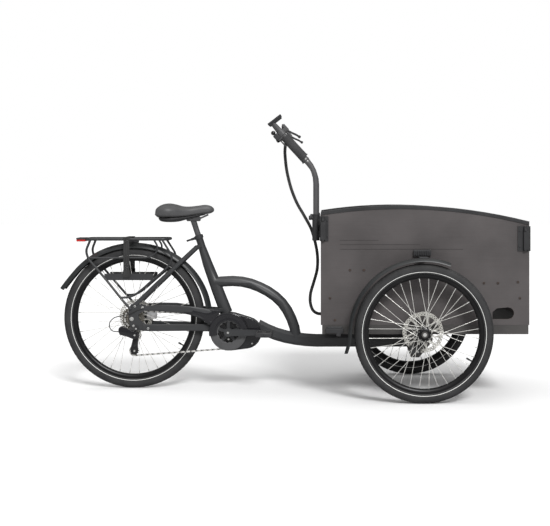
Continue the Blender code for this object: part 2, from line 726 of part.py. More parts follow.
def rear_triangle(body):
    """Seat stays, raised stays, chain stays and dropouts with the rear axle, welded into one."""
    parts = []
    outlines = {-1: [(-0.014, 0.318), (-0.002, 0.282), (0.012, 0.276), (0.085, 0.276), (0.088, 0.300),
                     (0.060, 0.306),
                     (0.034, 0.328), (0.031, 0.350), (0.058, 0.370), (0.066, 0.394), (0.036, 0.397),
                     (0.018, 0.404),
                     (-0.004, 0.398), (-0.014, 0.375)],
                1: [(-0.016, 0.292), (0.020, 0.276), (0.072, 0.272), (0.078, 0.300), (0.064, 0.352),
                    (0.074, 0.384),
                    (0.040, 0.392), (0.020, 0.404), (-0.004, 0.398), (-0.014, 0.375)]}
    for side in (-1, 1):
        low, high = sorted((side * HUB_HALF_SPACE, side * (HUB_HALF_SPACE + DROPOUT_THICK)))
        parts.append(prism([(REAR_AXLE_X + x, z) for x, z in outlines[side]], low, high))
        middle = HUB_HALF_SPACE + DROPOUT_THICK / 2
        parts.append(stay([(0.052, middle, 0.290), (0.120, 0.066, 0.2885), (0.250, 0.0505, 0.2880),
                           (0.330, 0.0430, 0.286), (0.372, 0.0320, 0.282), (0.402, 0.0280, 0.279)],
                          0.032, 0.0155, None, side))
        parts.append(stay([(0.056, middle, 0.3780), (0.110, 0.0705, 0.3800), (0.190, 0.0690, 0.3760),
                           (0.270, 0.0655, 0.3700), (0.330, 0.0580, 0.3670), (0.380, 0.0390, 0.3655),
                           (0.418, 0.0160, 0.3655)],
                          0.036, 0.0130, [(1, .6), (1, .7), (1, .85), (1, .6), (1, .5), (1, .5), (1, .5)],
                          side))
        parts.append(stay([(0.010, middle, 0.389), (0.110, 0.0610, 0.4855), (0.210, 0.0460, 0.5800),
                           (0.293, 0.0330, 0.6590), (0.312, 0.0130, 0.6640)], 0.020, 0.014, None, side))
    shield = [(0.110, 0.0700, 0.3820), (0.178, 0.0690, 0.3790), (0.2695, 0.0665, 0.3694),
              (0.3142, 0.0662, 0.3580),
              (0.3586, 0.0660, 0.3430), (0.3760, 0.0660, 0.3370)]
    parts.append(stay(shield, 0.036, 0.0130, [(.9, .6), (.9, .85), (.62, 1), (.5, 1.25), (.47, 1.6),
                                              (.47, 1.7)], -1))
    bridge = cylinder(rear(0.2425, -0.042, 0.611), rear(0.2425, 0.042, 0.611), 0.006, 8)
    axle = cylinder(rear(0, -HUB_HALF_SPACE - 0.016, REAR_AXLE_Z),
                    rear(0, HUB_HALF_SPACE + 0.016, REAR_AXLE_Z),
                    REAR_AXLE_R, 12)
    whole = combine(parts[0], parts[1:] + [bridge, axle])
    room = [seat_tube_mesh(GAP), cylinder(seat_axis(0.35), seat_axis(SEAT_TUBE_TOP), SEAT_SLEEVE_R + GAP,
                                          14),
            prism(motor_outline(GAP), -MOTOR_HALF_WIDTH - GAP, MOTOR_HALF_WIDTH + GAP),
            prism(motor_outline(BRACKET_WALL + GAP, 0, 156), -BRACKET_HALF_WIDTH - GAP,
                  BRACKET_HALF_WIDTH + GAP),
            prism(motor_outline(BRACKET_WALL + COVER_LIP + 2 * GAP),
                  -MOTOR_HALF_WIDTH - 2 * GAP - MOTOR_COVER_THICK,
                  -MOTOR_HALF_WIDTH + GAP)]
    add_piece("rear_triangle", combine(whole, room, "DIFFERENCE"), BLACK_FRAME, body)


def crank_point(forward, y, up=0.0):
    """A point near the crank axis, forward and up from it."""
    return rear(CRANK_X + forward, y, CRANK_Z + up)


def crankset(body):
    """Spindle and both arms as one, the chainring, and the disc guard outside it."""
    spindle = cylinder(crank_point(0, -CRANK_ARM_Y), crank_point(0, CRANK_ARM_Y), SPINDLE_R, 14)
    parts = []
    half = CRANK_ARM_THICK / 2
    for side in (-1, 1):
        ahead = CRANK_LENGTH if side < 0 else -CRANK_LENGTH
        low, high = sorted((side * (CRANK_ARM_Y - half), side * (CRANK_ARM_Y + half)))
        parts.append(cylinder(crank_point(0, low), crank_point(0, high), 0.019, 14))
        parts.append(cylinder(crank_point(ahead, low + 0.0005), crank_point(ahead, high - 0.0005), 0.0145,
                              12))
        outline = [(0, 0.0160), (ahead, 0.0115), (ahead, -0.0115), (0, -0.0160)]
        parts.append(prism([(x + REAR_AXLE_X + CRANK_X, z + CRANK_Z) for x, z in outline],
                           low + 0.001, high - 0.001))
        pin_end = side * (CRANK_ARM_Y + half + PEDAL_WIDTH + 0.004)
        parts.append(cylinder(crank_point(ahead, side * CRANK_ARM_Y), crank_point(ahead, pin_end),
                              PEDAL_PIN_R, 8))
    spider = []
    for arm in range(5):
        angle = 2 * pi * arm / 5 + pi / 2
        spider.append(sweep([crank_point(0.012 * cos(angle), CHAIN_Y - 0.0045, 0.012 * sin(angle)),
                             crank_point(0.058 * cos(angle), CHAIN_Y - 0.0045, 0.058 * sin(angle))],
                            rectangle(0.006, 0.014), side=(0, 1, 0)))
        spider.append(cylinder(crank_point(0.052 * cos(angle), CHAIN_Y - 0.0046, 0.052 * sin(angle)),
                               crank_point(0.052 * cos(angle), CHAIN_Y - SPROCKET_THICK / 2 - GAP,
                                           0.052 * sin(angle)),
                               0.006, 8))
    hub = cylinder(crank_point(0, -CRANK_ARM_Y), crank_point(0, CHAIN_Y - 0.0012), 0.020, 14)
    add_piece("crankset", combine(spindle, parts + [hub] + spider), BLACK_FRAME, body)
    add_piece("chainring", sprocket(CHAINRING_TEETH, crank_point(0, 0), SPROCKET_THICK, 0.040, CHAIN_Y),
              DARK_STEEL, body)
    inner_y = CHAIN_Y - 0.0045 - 0.003 - GAP
    edge = 0.002
    profile = [(GUARD_R, inner_y), (GUARD_R, inner_y - edge), (GUARD_INNER_R, inner_y - edge),
               (GUARD_INNER_R, inner_y)]
    add_piece("chain_guard", turned(profile, crank_point(0, 0), 36), MATT_PLASTIC, body)


def pedal(side, body, tag):
    """A platform pedal on its pin: a block with a bore and ribbed ends."""
    ahead = CRANK_LENGTH if side < 0 else -CRANK_LENGTH
    near = CRANK_ARM_Y + CRANK_ARM_THICK / 2 + 0.002
    low, high = sorted((side * near, side * (near + PEDAL_WIDTH)))
    base = block(crank_point(ahead - PEDAL_LENGTH / 2, low, -PEDAL_THICK / 2),
                 crank_point(ahead + PEDAL_LENGTH / 2, high, PEDAL_THICK / 2), 0.004)
    cuts = [cylinder(crank_point(ahead, low - 0.01), crank_point(ahead, high + 0.01),
                     bore_radius(PEDAL_PIN_R, 12))]
    for way in (-1, 1):
        x = way * PEDAL_LENGTH / 4
        cuts.append(block(crank_point(ahead + x - 0.009, low + 0.014, -0.02),
                          crank_point(ahead + x + 0.009, high - 0.014, 0.02)))
    add_piece(tag, combine(base, [gather(cuts)], "DIFFERENCE"), MATT_PLASTIC, body)


def pulley(name, x, z, body):
    """A toothed jockey wheel in the derailleur's cage."""
    add_piece(name, sprocket(PULLEY_TEETH, rear(x, 0, z), SPROCKET_THICK, 0.003, CHAIN_Y), MATT_PLASTIC,
              body)


def derailleur(body):
    """Hanger, parallelogram block and a two-plate cage with the pulleys' pins."""
    outer = CHAIN_Y - CHAIN_HALF_WIDTH - 0.0025
    inner = CHAIN_Y + CHAIN_HALF_WIDTH + 0.0015
    guide = Vector((REAR_AXLE_X + GUIDE_PULLEY_X, 0, GUIDE_PULLEY_Z))
    tension = Vector((REAR_AXLE_X + TENSION_PULLEY_X, 0, TENSION_PULLEY_Z))
    parts = []
    for y in (outer, inner):
        route = [guide + Vector((0.001, y, 0.013)), tension + Vector((-0.001, y, -0.013))]
        parts.append(sweep(route, rectangle(0.002, 0.024, 0.0), side=(0, 1, 0)))
    for centre in (guide, tension):
        parts.append(cylinder(centre + Vector((0, outer - 0.001, 0)),
                              centre + Vector((0, inner + 0.001, 0)),
                              0.003 - GAP, 8))
    knuckle_y = -HUB_HALF_SPACE - DROPOUT_THICK - GAP - 0.007
    parts.append(cylinder(guide + Vector((-0.002, knuckle_y - 0.008, 0.010)),
                          guide + Vector((-0.002, outer + 0.0005, 0.010)), 0.012, 10))
    parts.append(sweep([guide + Vector((-0.002, knuckle_y, 0.008)),
                        guide + Vector((-0.046, knuckle_y, 0.026)),
                        guide + Vector((0.006, knuckle_y, 0.034))], rectangle(0.012, 0.020, 0.003),
                       side=(0, 1, 0)))
    parts.append(block(guide + Vector((-0.066, knuckle_y - 0.009, 0.009)),
                       guide + Vector((-0.036, knuckle_y + 0.009, 0.039)), 0.006))
    parts.append(cylinder(guide + Vector((0.006, -HUB_HALF_SPACE - DROPOUT_THICK - GAP, 0.034)),
                          guide + Vector((0.006, knuckle_y - 0.006, 0.034)), 0.009, 10))
    add_piece("derailleur", combine(parts[0], parts[1:]), MATT_PLASTIC, body)


def gear_cable(body):
    """The shift cable's loop from the stay round into the derailleur."""
    y = -HUB_HALF_SPACE - DROPOUT_THICK - GEAR_CABLE_R - GAP
    points = [rear(0.054, y, 0.3800), rear(0.025, y - 0.001, 0.3700), rear(-0.004, y - 0.004, 0.3560)]
    y -= 0.008
    points += [rear(x, y, z) for x, z in ((-0.040, 0.3460), (-0.078, 0.3370), (-0.0985, 0.3170),
                                          (-0.1010, 0.2950),
                                          (-0.0890, 0.2770), (-0.0690, 0.2725))]
    points.append(rear(GUIDE_PULLEY_X - 0.066 - GAP, y, GUIDE_PULLEY_Z + 0.020))
    cord("gear_cable", points, GEAR_CABLE_R, 0.013, 2, body)


def cord(name, points, radius, spacing, resolution, body):
    """A cord as a round-bevelled curve with closed ends, carried along a smooth route."""
    route = smooth_route(points, spacing)
    curve = bpy.data.curves.new(name, "CURVE")
    curve.dimensions = "3D"
    curve.bevel_depth = radius
    curve.bevel_resolution = resolution
    curve.use_fill_caps = True
    line = curve.splines.new("POLY")
    line.points.add(len(route) - 1)
    for spot, place in zip(line.points, route):
        spot.co = (*(place - world_place(body)), 1.0)
    curve.materials.append(get_material(RUBBER))
    piece = bpy.data.objects.new(name, curve)
    piece.parent = body
    bpy.context.scene.collection.objects.link(piece)
    return piece


def caliper(name, hub, place_angle, rotor_r, rotor_y, mount_y, depth, body):
    """A brake caliper astride the rotor; its foot reaches to its mount."""
    ahead = cos(radians(place_angle))
    up = sin(radians(place_angle))
    middle = rotor_r - 0.006
    side = 1 if rotor_y > mount_y else -1
    x = hub.x + ahead * middle
    z = hub.z + up * middle
    near, far = sorted((rotor_y - side * depth, rotor_y + side * 0.016))
    body_block = block((x - 0.024, near, z - 0.020), (x + 0.024, far, z + 0.020), 0.005)
    slot = turned([(rotor_r + 0.003, 0.003), (rotor_r + 0.003, -0.003), (0.030, -0.003), (0.030, 0.003)],
                  Vector((hub.x, rotor_y, hub.z)), 24)
    foot_end = mount_y + side * GAP
    foot_low, foot_high = sorted((rotor_y - side * 0.010, foot_end))
    feet = []
    for way in (-1, 1):
        fx = x - way * up * 0.016
        fz = z + way * ahead * 0.016
        feet.append(cylinder((fx, foot_low, fz), (fx, foot_high, fz), 0.006, 8))
    shape = combine(body_block, [gather(feet)])
    finish = ALUMINIUM if name == "rear_caliper" else MATT_PLASTIC
    add_piece(name, combine(shape, [slot], "DIFFERENCE"), finish, body)


def mudguard_route(centre, rx, rz, start, end, steps, flap):
    """Points along a mudguard, ending in a flap that turns away from the tyre."""
    points = []
    for step in range(steps + 1):
        angle = radians(start + (end - start) * step / steps)
        late = max(0.0, (step - steps + 2) / 2)
        flare = flap * late * late
        points.append(centre + Vector(((rx + flare) * cos(angle), 0, (rz + flare) * sin(angle))))
    return points


def mudguard_section(depth):
    """A thin arched sheet, open towards the tyre, as (sideways, outwards) points."""
    wide = GUARD_HALF_WIDTH
    sheet = GUARD_SHEET
    outer = [(wide, -depth), (0.60 * wide, 0), (-0.60 * wide, 0), (-wide, -depth)]
    inner = [(sheet - wide, -depth), (-0.57 * wide, -sheet), (0.57 * wide, -sheet),
             (wide - sheet, -depth)]
    return outer + inner


def rear_mudguard(body):
    """Rear guard from behind the seat tube over the wheel to a flap, with its bridge tab."""
    centre = Vector((REAR_AXLE_X, 0, REAR_AXLE_Z))
    route = mudguard_route(centre, REAR_GUARD_RX, REAR_GUARD_RZ, REAR_GUARD_START, REAR_GUARD_END, 18,
                           REAR_FLAP)
    shell = sweep(route, mudguard_section(REAR_GUARD_DEPTH), side=(0, -1, 0))
    tab = block(rear(-0.020, -0.012, REAR_AXLE_Z + REAR_GUARD_RZ - 0.002),
                rear(0.020, 0.012, RACK_Z - RACK_CROSS_R - GAP))
    add_piece("rear_mudguard", combine(shell, [tab]), MATT_PLASTIC, body)


def front_mudguard(side, body, tag):
    """Front guard with a flap, and the strip that carries it from the box side."""
    centre = Vector((REAR_AXLE_X + WHEELBASE, side * HALF_TRACK, FRONT_AXLE_Z))
    route = mudguard_route(centre, FRONT_GUARD_R, FRONT_GUARD_R, 69, 194, 16, 0.028)
    shell = sweep(route, mudguard_section(GUARD_DEPTH), side=(0, -1, 0))
    top = centre.z + FRONT_GUARD_R
    start, end = sorted((side * (HALF_BOX + GAP), side * (HALF_TRACK + 0.010)))
    strip = block((centre.x - 0.020, start, top - 0.0035), (centre.x + 0.020, end, top + 0.0025))
    wall_start, wall_end = sorted((side * (HALF_BOX + GAP), side * (HALF_BOX + 0.004)))
    foot = block((centre.x - 0.020, wall_start, top - 0.020), (centre.x + 0.020, wall_end, top + 0.028))
    brace_end = side * (HALF_TRACK - GUARD_HALF_WIDTH + 0.0043)
    brace_x = centre.x - FRONT_GUARD_R + 0.0154
    brace_z = BOX_BASE_Z + 0.020
    brace = cylinder((brace_x, brace_end, brace_z), (brace_x, side * (HALF_BOX + GAP), brace_z), 0.004, 6)
    add_piece(tag, combine(shell, [strip, foot, brace]), MATT_PLASTIC, body)


def rack(body):
    """Tube rack: a top loop with cross tubes, side loops and struts down to the dropouts."""
    w = RACK_HALF_WIDTH
    loop = []
    corner = 0.030
    for cx, cy, start in ((RACK_FRONT - corner, w - corner, 0), (RACK_REAR + corner, w - corner, 90),
                          (RACK_REAR + corner, -w + corner, 180), (RACK_FRONT - corner, -w + corner, 270)):
        for step in range(4):
            angle = radians(start + 30 * step)
            loop.append(rear(cx + corner * cos(angle), cy + corner * sin(angle), RACK_Z))
    parts = [sweep(loop, circle(RACK_TUBE_R, 8), closed=True, side=(0, 0, 1))]
    for x in (-0.130, 0.0, 0.100):
        parts.append(cylinder(rear(x, -w, RACK_Z), rear(x, w, RACK_Z), RACK_CROSS_R, 6))
    deck = block(rear(-0.150, -0.022, RACK_Z - 0.0025), rear(0.120, 0.022, RACK_Z + 0.0025))
    parts.append(deck)
    for side in (-1, 1):
        y = side * (w + 0.004)
        foot_y = side * (HUB_HALF_SPACE + DROPOUT_THICK + RACK_ROD_R + GAP)
        strut = [rear(-0.193, side * w, RACK_Z), rear(-0.214, y, 0.646), rear(-0.204, y, 0.610),
                 rear(-0.120, y, 0.511),
                 rear(-0.040, foot_y, 0.415), rear(-0.004, foot_y, 0.376)]
        parts.append(sweep(strut, circle(RACK_ROD_R, 6)))
        rail = [rear(-0.2045, y, 0.612), rear(-0.060, y, 0.613), rear(0.078, y, 0.614),
                rear(0.114, y, 0.636),
                rear(0.120, y, 0.665), rear(0.100, side * w, RACK_Z)]
        parts.append(sweep(rail, circle(RACK_RAIL_R, 6)))
        pannier = [rear(0.138, side * w, RACK_Z), rear(0.160, y, 0.664), rear(0.183, y, 0.628),
                   rear(0.184, y, 0.596),
                   rear(0.160, y, 0.564), rear(0.075, y, 0.4915), rear(0.046, y, 0.4650),
                   rear(0.010, y, 0.4380),
                   rear(-0.020, y + side * 0.004, 0.4290), rear(-0.050, foot_y - side * 0.004, 0.4290)]
        parts.append(sweep(pannier, circle(0.0050, 6)))
        parts.append(block(rear(-0.128, y - 0.002, 0.509), rear(0.098, y + 0.002, 0.539)))
    add_piece("rear_rack", combine(parts[0], parts[1:]), BLACK_FRAME, body)
    inner = RACK_HALF_WIDTH + 0.004 + RACK_RAIL_R + GAP
    outer = inner + STRAP_THICK
    strap_z = RACK_Z + RACK_TUBE_R + GAP
    strap = []
    for side in (-1, 1):
        low, high = sorted((side * inner, side * outer))
        strap.append(block(rear(-0.039, low, 0.520), rear(-0.011, high, strap_z + 0.001)))
    top = block(rear(-0.0395, -outer - 0.0005, strap_z),
                rear(-0.0105, outer + 0.0005, strap_z + STRAP_THICK))
    add_piece("rack_strap", combine(top, [gather(strap)]), RUBBER, body)
    lamp_end = RACK_REAR - RACK_TUBE_R - GAP
    lamp = block(rear(lamp_end - 0.044, -0.042, RACK_Z - 0.012), rear(lamp_end, 0.042, RACK_Z + 0.006),
                 0.004)
    add_piece("rear_lamp", lamp, RED_LENS, body)


def saddle_rail(head, side, extra, longer):
    """One of the two rails under the saddle; extra widens it and longer lengthens both ends."""
    points = [head + Vector((-0.100, side * 0.034, 0.013)), head + Vector((-0.030, side * 0.016, 0.006)),
              head + Vector((0.030, side * 0.016, 0.006)), head + Vector((0.070, side * 0.010, 0.024))]
    points[0] += (points[0] - points[1]).normalized() * longer
    points[-1] += (points[-1] - points[-2]).normalized() * longer
    return sweep(points, circle(0.0038 + extra, 6))


def saddle_parts(post, lever_body):
    """Seat post with its rail clamp, the saddle, and the quick-release lever on the frame."""
    foot = SEAT_TUBE_TOP - SEAT_POST_INSERT
    tube = cylinder(seat_axis(foot), seat_axis(foot + SEAT_POST_LENGTH), SEAT_POST_R, 14)
    head = seat_axis(foot + SEAT_POST_LENGTH)
    clamp = block(head + Vector((-0.030, -0.018, -0.006)), head + Vector((0.034, 0.018, 0.016)), 0.004)
    rails = [saddle_rail(head, side, 0.0, 0.0) for side in (-1, 1)]
    add_piece("seat_post", combine(tube, [clamp, gather(rails)]), RIM_BLACK, post)
    sections = [(0.1040, 0.046, 0.8300, 0.8120), (0.1120, 0.078, 0.8460, 0.8010),
                (0.1350, 0.098, 0.8600, 0.7930),
                (0.1650, 0.102, 0.8650, 0.7905), (0.1950, 0.092, 0.8600, 0.7920),
                (0.2280, 0.066, 0.8520, 0.7960),
                (0.2620, 0.045, 0.8510, 0.8010), (0.2980, 0.035, 0.8545, 0.8080),
                (0.3340, 0.030, 0.8580, 0.8140),
                (0.3580, 0.024, 0.8530, 0.8190), (0.3730, 0.010, 0.8400, 0.8280)]
    work = bmesh.new()
    rings = []
    for x, half, top, base in sections:
        ring = []
        middle = base + 0.45 * (top - base)
        for step in range(14):
            angle = 2 * pi * (step + 0.5) / 14
            across = half * (abs(cos(angle)) ** 0.75) * (1 if cos(angle) > 0 else -1)
            rise = sin(angle)
            height = middle + (top - middle) * rise ** 0.8 if rise > 0 else middle - (middle
                    - base) * (-rise) ** 0.6
            if rise < -0.5:
                across *= 0.82
            ring.append(work.verts.new(rear(x, across, height)))
        rings.append(ring)
    for here, after in zip(rings, rings[1:]):
        for spot in range(14):
            other = (spot + 1) % 14
            work.faces.new((here[spot], here[other], after[other], after[spot]))
    work.faces.new(list(reversed(rings[0])))
    work.faces.new(rings[-1])
    cushion = finish_mesh(work)
    nest = gather([saddle_rail(head, side, 2 * GAP, 0.002) for side in (-1, 1)])
    room = block(head + Vector((-0.031, -0.0185, -0.02)), head + Vector((0.035, 0.0185, 0.0165)))
    add_piece("saddle", combine(cushion, [nest, room], "DIFFERENCE"), SADDLE_SKIN, post)
    pin = -LEVER_EAR - GAP - LEVER_CAM_R
    cam = cylinder(seat_axis(LEVER_HEIGHT - 0.006, pin), seat_axis(LEVER_HEIGHT + 0.006, pin), LEVER_CAM_R,
                   12)
    lever = sweep([seat_axis(LEVER_HEIGHT, pin), seat_axis(LEVER_HEIGHT, pin - LEVER_LENGTH)],
                  rectangle(0.009, 0.009, 0.002))
    lever = combine(cam, [lever])
    add_piece("saddle_clamp_lever", lever, MATT_PLASTIC, lever_body)


def chassis(body):
    """Welded steel frame under the box with the king pin, axle plates and stub axles."""
    back = BOX_REAR + 0.006
    front = BOX_REAR + BOX_LENGTH - 0.004
    low = RAIL_BASE_Z
    high = BOX_BASE_Z - GAP
    parts = []
    for side in (-1, 1):
        y_low, y_high = sorted((side * (HALF_BOX - RAIL), side * HALF_BOX))
        parts.append(block(rear(back, y_low, low), rear(front, y_high, high)))
        plate_low, plate_high = sorted((side * (HALF_BOX - 0.004), side * (HALF_BOX + AXLE_PLATE)))
        outline = [(0.050, high), (-0.055, high), (-0.070, FRONT_AXLE_Z - 0.062),
                   (-0.050, FRONT_AXLE_Z - 0.115),
                   (-0.014, FRONT_AXLE_Z - 0.115), (0.045, FRONT_AXLE_Z - 0.045)]
        axle_x = REAR_AXLE_X + WHEELBASE
        parts.append(prism([(axle_x + x, z) for x, z in outline], plate_low, plate_high))
        axle_end = side * (HALF_TRACK + 0.043)
        parts.append(cylinder((axle_x, side * (HALF_BOX - 0.006), FRONT_AXLE_Z),
                              (axle_x, axle_end, FRONT_AXLE_Z),
                              FRONT_AXLE_R, 14))
        nut_start = side * (HALF_TRACK + 0.040 + GAP)
        parts.append(cylinder((axle_x, nut_start, FRONT_AXLE_Z),
                              (axle_x, side * (HALF_TRACK + 0.048), FRONT_AXLE_Z),
                              0.0145, 12))
        shoulder = side * (HALF_TRACK - 0.052 - GAP)
        parts.append(cylinder((axle_x, side * HALF_BOX, FRONT_AXLE_Z), (axle_x, shoulder, FRONT_AXLE_Z),
                              0.016, 12))
    inner = HALF_BOX - RAIL + 0.006
    for x_low, x_high in ((back + 0.0005, back + RAIL), (PIVOT_X - 0.050, PIVOT_X + 0.050),
                          (front - RAIL, front - 0.0005)):
        parts.append(block(rear(x_low, -inner, low + 0.0005), rear(x_high, inner, high - 0.0005)))
    collar = cylinder(rear(PIVOT_X, 0, PIVOT_HOUSING_TOP_Z + GAP), rear(PIVOT_X, 0, low + 0.004),
                      PIVOT_HOUSING_R, 20)
    pin = cylinder(rear(PIVOT_X, 0, PIVOT_HOUSING_BASE_Z - 0.006), rear(PIVOT_X, 0, low + 0.006),
                   KING_PIN_R, 20)
    nut = cylinder(rear(PIVOT_X, 0, PIVOT_HOUSING_BASE_Z - 0.012),
                   rear(PIVOT_X, 0, PIVOT_HOUSING_BASE_Z - GAP),
                   0.027, 6)
    add_piece("front_chassis", combine(parts[0], parts[1:] + [collar, pin, nut]), BLACK_FRAME, body)


def box_top(x):
    """Height of the box's arched edge at x from its rear end."""
    return BOX_PEAK_Z - (x - BOX_PEAK_FROM_REAR) ** 2 / (2 * BOX_TOP_R)


def cargo_box(body):
    """Plywood floor in two boards, sides, front and rear, with a bench board on cleats inside."""
    inside = HALF_BOX - BOARD - GAP
    x0 = BOX_REAR
    x1 = BOX_REAR + BOX_LENGTH
    panel_front = x1 - BOARD
    floor_end = panel_front - GAP
    rear_face = x0 + REAR_PANEL_INSET
    floor_top = BOX_BASE_Z + FLOOR_BOARD
    joint = rear_face + FLOOR_JOINT
    rear_floor = block(rear(x0 + 0.004, -inside, BOX_BASE_Z), rear(joint - GAP, inside, floor_top))
    add_piece("floor_rear", rear_floor, PLYWOOD, body)
    floor = block(rear(joint, -inside, BOX_BASE_Z), rear(floor_end, inside, floor_top))
    add_piece("box_floor", floor, PLYWOOD, body)
    steps = 14
    for side, tag in ((-1, "right"), (1, "left")):
        outline = [(x0, BOX_BASE_Z), (x1, BOX_BASE_Z)]
        for step in range(steps + 1):
            x = BOX_LENGTH * (1 - step / steps)
            outline.append((x0 + x, box_top(x) - TRIM_WALL - GAP))
        y_low, y_high = sorted((side * (HALF_BOX - BOARD), side * HALF_BOX))
        panel = prism([(REAR_AXLE_X + x, z) for x, z in outline], y_low, y_high)
        hole = []
        radius = STEP_HOLE_HEIGHT / 2
        left = x0 + STEP_HOLE_X
        right = left + STEP_HOLE_LENGTH - radius
        hole += [(left, STEP_HOLE_Z), (right, STEP_HOLE_Z)]
        hole += arc((right, STEP_HOLE_Z + radius), radius, -60, 90, 6)
        hole += [(left + 0.020, STEP_HOLE_Z + STEP_HOLE_HEIGHT * 0.92),
                 (left, STEP_HOLE_Z + STEP_HOLE_HEIGHT * 0.60)]
        cutter = prism([(REAR_AXLE_X + x, z) for x, z in hole], y_low - 0.01, y_high + 0.01)
        add_piece("box_side_" + tag, combine(panel, [cutter], "DIFFERENCE"), PLYWOOD, body)
        edge_trim(side, body, "edge_trim_" + tag)
    wall_z = floor_top + GAP
    front = block(rear(panel_front, -inside, BOX_BASE_Z), rear(x1, inside, FRONT_PANEL_TOP_Z))
    add_piece("box_front", front, PLYWOOD, body)
    back = block(rear(rear_face, -inside, wall_z), rear(rear_face + BOARD, inside, REAR_PANEL_TOP_Z))
    add_piece("box_rear", back, PLYWOOD, body)
    bench_back = rear_face + BOARD + GAP
    board = block(rear(bench_back, -inside + GAP, BENCH_Z),
                  rear(bench_back + BENCH_DEPTH, inside - GAP, BENCH_Z + BENCH_BOARD))
    cleats = []
    for side in (-1, 1):
        y_low, y_high = sorted((side * (inside - GAP - CLEAT), side * (inside - GAP)))
        cleats.append(block(rear(bench_back + 0.002, y_low, BENCH_Z - CLEAT),
                            rear(bench_back + BENCH_DEPTH - 0.02,
                                                                                y_high, BENCH_Z + 0.001)))
    add_piece("bench_board", combine(board, [gather(cleats)]), PLYWOOD, body)
    pack = block(rear(bench_back + 0.030, -0.090, wall_z), rear(bench_back + 0.115, 0.270, wall_z + 0.130),
                 0.010)
    add_piece("battery", pack, MATT_PLASTIC, body)


def edge_trim(side, body, name):
    """A U-shaped metal edge along the arched top of a side panel."""
    half = TRIM_WIDTH / 2
    room = BOARD / 2 + GAP
    deep = -TRIM_HEIGHT
    wall = TRIM_WALL
    section = [(half, deep), (half, -0.0015), (half - 0.0015, 0), (0.0015 - half, 0), (-half, -0.0015),
               (-half, deep),
               (-room, deep), (-room, -wall), (room, -wall), (room, deep)]
    steps = 14
    route = []
    for step in range(steps + 1):
        x = BOX_LENGTH * step / steps
        route.append(rear(BOX_REAR + x, side * (HALF_BOX - BOARD / 2), box_top(x)))
    add_piece(name, sweep(route, section, side=(0, 1, 0)), EDGE_METAL, body)


def corner_bracket(name, side, end, body):
    """An angle plate round a corner of the box, with a socket for a cover's pole."""
    y_out = HALF_BOX + CORNER_WALL + GAP
    if end == "front":
        low = FRONT_CORNER_Z
        x_face = BOX_REAR + BOX_LENGTH + GAP
        x_in = x_face - CORNER_SIDE
        x_out = x_face + CORNER_WALL
    else:
        low = REAR_CORNER_Z
        x_face = BOX_REAR - GAP
        x_in = x_face + 0.034
        x_out = x_face - CORNER_WALL
    high = low + CORNER_HEIGHT
    y_low, y_high = sorted((side * (HALF_BOX + GAP), side * y_out))
    x_low, x_high = sorted((x_in, x_out))
    cheek = block(rear(x_low, y_low, low), rear(x_high, y_high, high))
    reach = CORNER_FACE if end == "front" else BOARD
    f_low, f_high = sorted((side * (HALF_BOX - reach), side * (y_out - 0.0005)))
    g_low, g_high = sorted((x_face, x_out))
    face = block(rear(g_low, f_low, low + 0.0005), rear(g_high, f_high, high - 0.0005))
    socket_x = (x_low + x_high) / 2 + (0.008 if end == "front" else -0.004)
    socket = block(rear(socket_x - 0.011, min(side * (y_out - 0.001), side * (y_out + 0.012)), low + 0.006),
                   rear(socket_x + 0.011, max(side * (y_out - 0.001), side * (y_out + 0.012)),
                        high - 0.022), 0.0)
    add_piece(name, combine(cheek, [face, socket]), EDGE_METAL, body)


def handlebar_route():
    """Half of the handlebar hoop, from the foot of the right upright to the middle of the top."""
    y = -BAR_HALF_SPAN
    bend = 0.060
    rise, ahead = bar_directions()
    elbow = rear(BAR_X, y, BAR_BEND_Z)
    top = rear(BAR_TOP_X, y, BAR_TOP_Z)
    points = [rear(BAR_X, y, BAR_FOOT_Z), rear(BAR_X, y, BAR_BEND_Z - bend)]
    for share in (0.25, 0.5, 0.75, 1.0):
        a = (elbow - Vector((0, 0, bend))).lerp(elbow, share)
        b = elbow.lerp(elbow + rise * bend, share)
        points.append(a.lerp(b, share))
    points.append(top - rise * bend)
    for share in (0.25, 0.5, 0.75, 1.0):
        a = (top - rise * bend).lerp(top, share)
        b = top.lerp(top + Vector((0, bend, 0)), share)
        points.append(a.lerp(b, share))
    return points


def bar_directions():
    """Unit vectors up along the hoop's slanting top part, and square to it towards the front."""
    rise = Vector((BAR_TOP_X - BAR_X, 0, BAR_TOP_Z - BAR_BEND_Z)).normalized()
    return rise, Vector((rise.z, 0, -rise.x))


def lever_pivot(side):
    """A brake lever's pivot, just past the end of its master cylinder."""
    rise, ahead = bar_directions()
    top = rear(BAR_TOP_X, side * BAR_HALF_SPAN, BAR_TOP_Z)
    return top - rise * (CONTROL_DROP + LEVER_CLEAR + BRAKE_PIVOT_IN) + ahead * BRAKE_PIVOT_AHEAD


def paddle_pivot():
    """The shift paddle's pivot, just past the lower face of the shifter block."""
    rise, ahead = bar_directions()
    top = rear(BAR_TOP_X, -BAR_HALF_SPAN, BAR_TOP_Z)
    drop = CONTROL_DROP + SHIFTER_SIDE / 2 + LEVER_CLEAR + PADDLE_PIVOT_IN
    return top - rise * drop - ahead * (SHIFTER_DROP - 0.005)


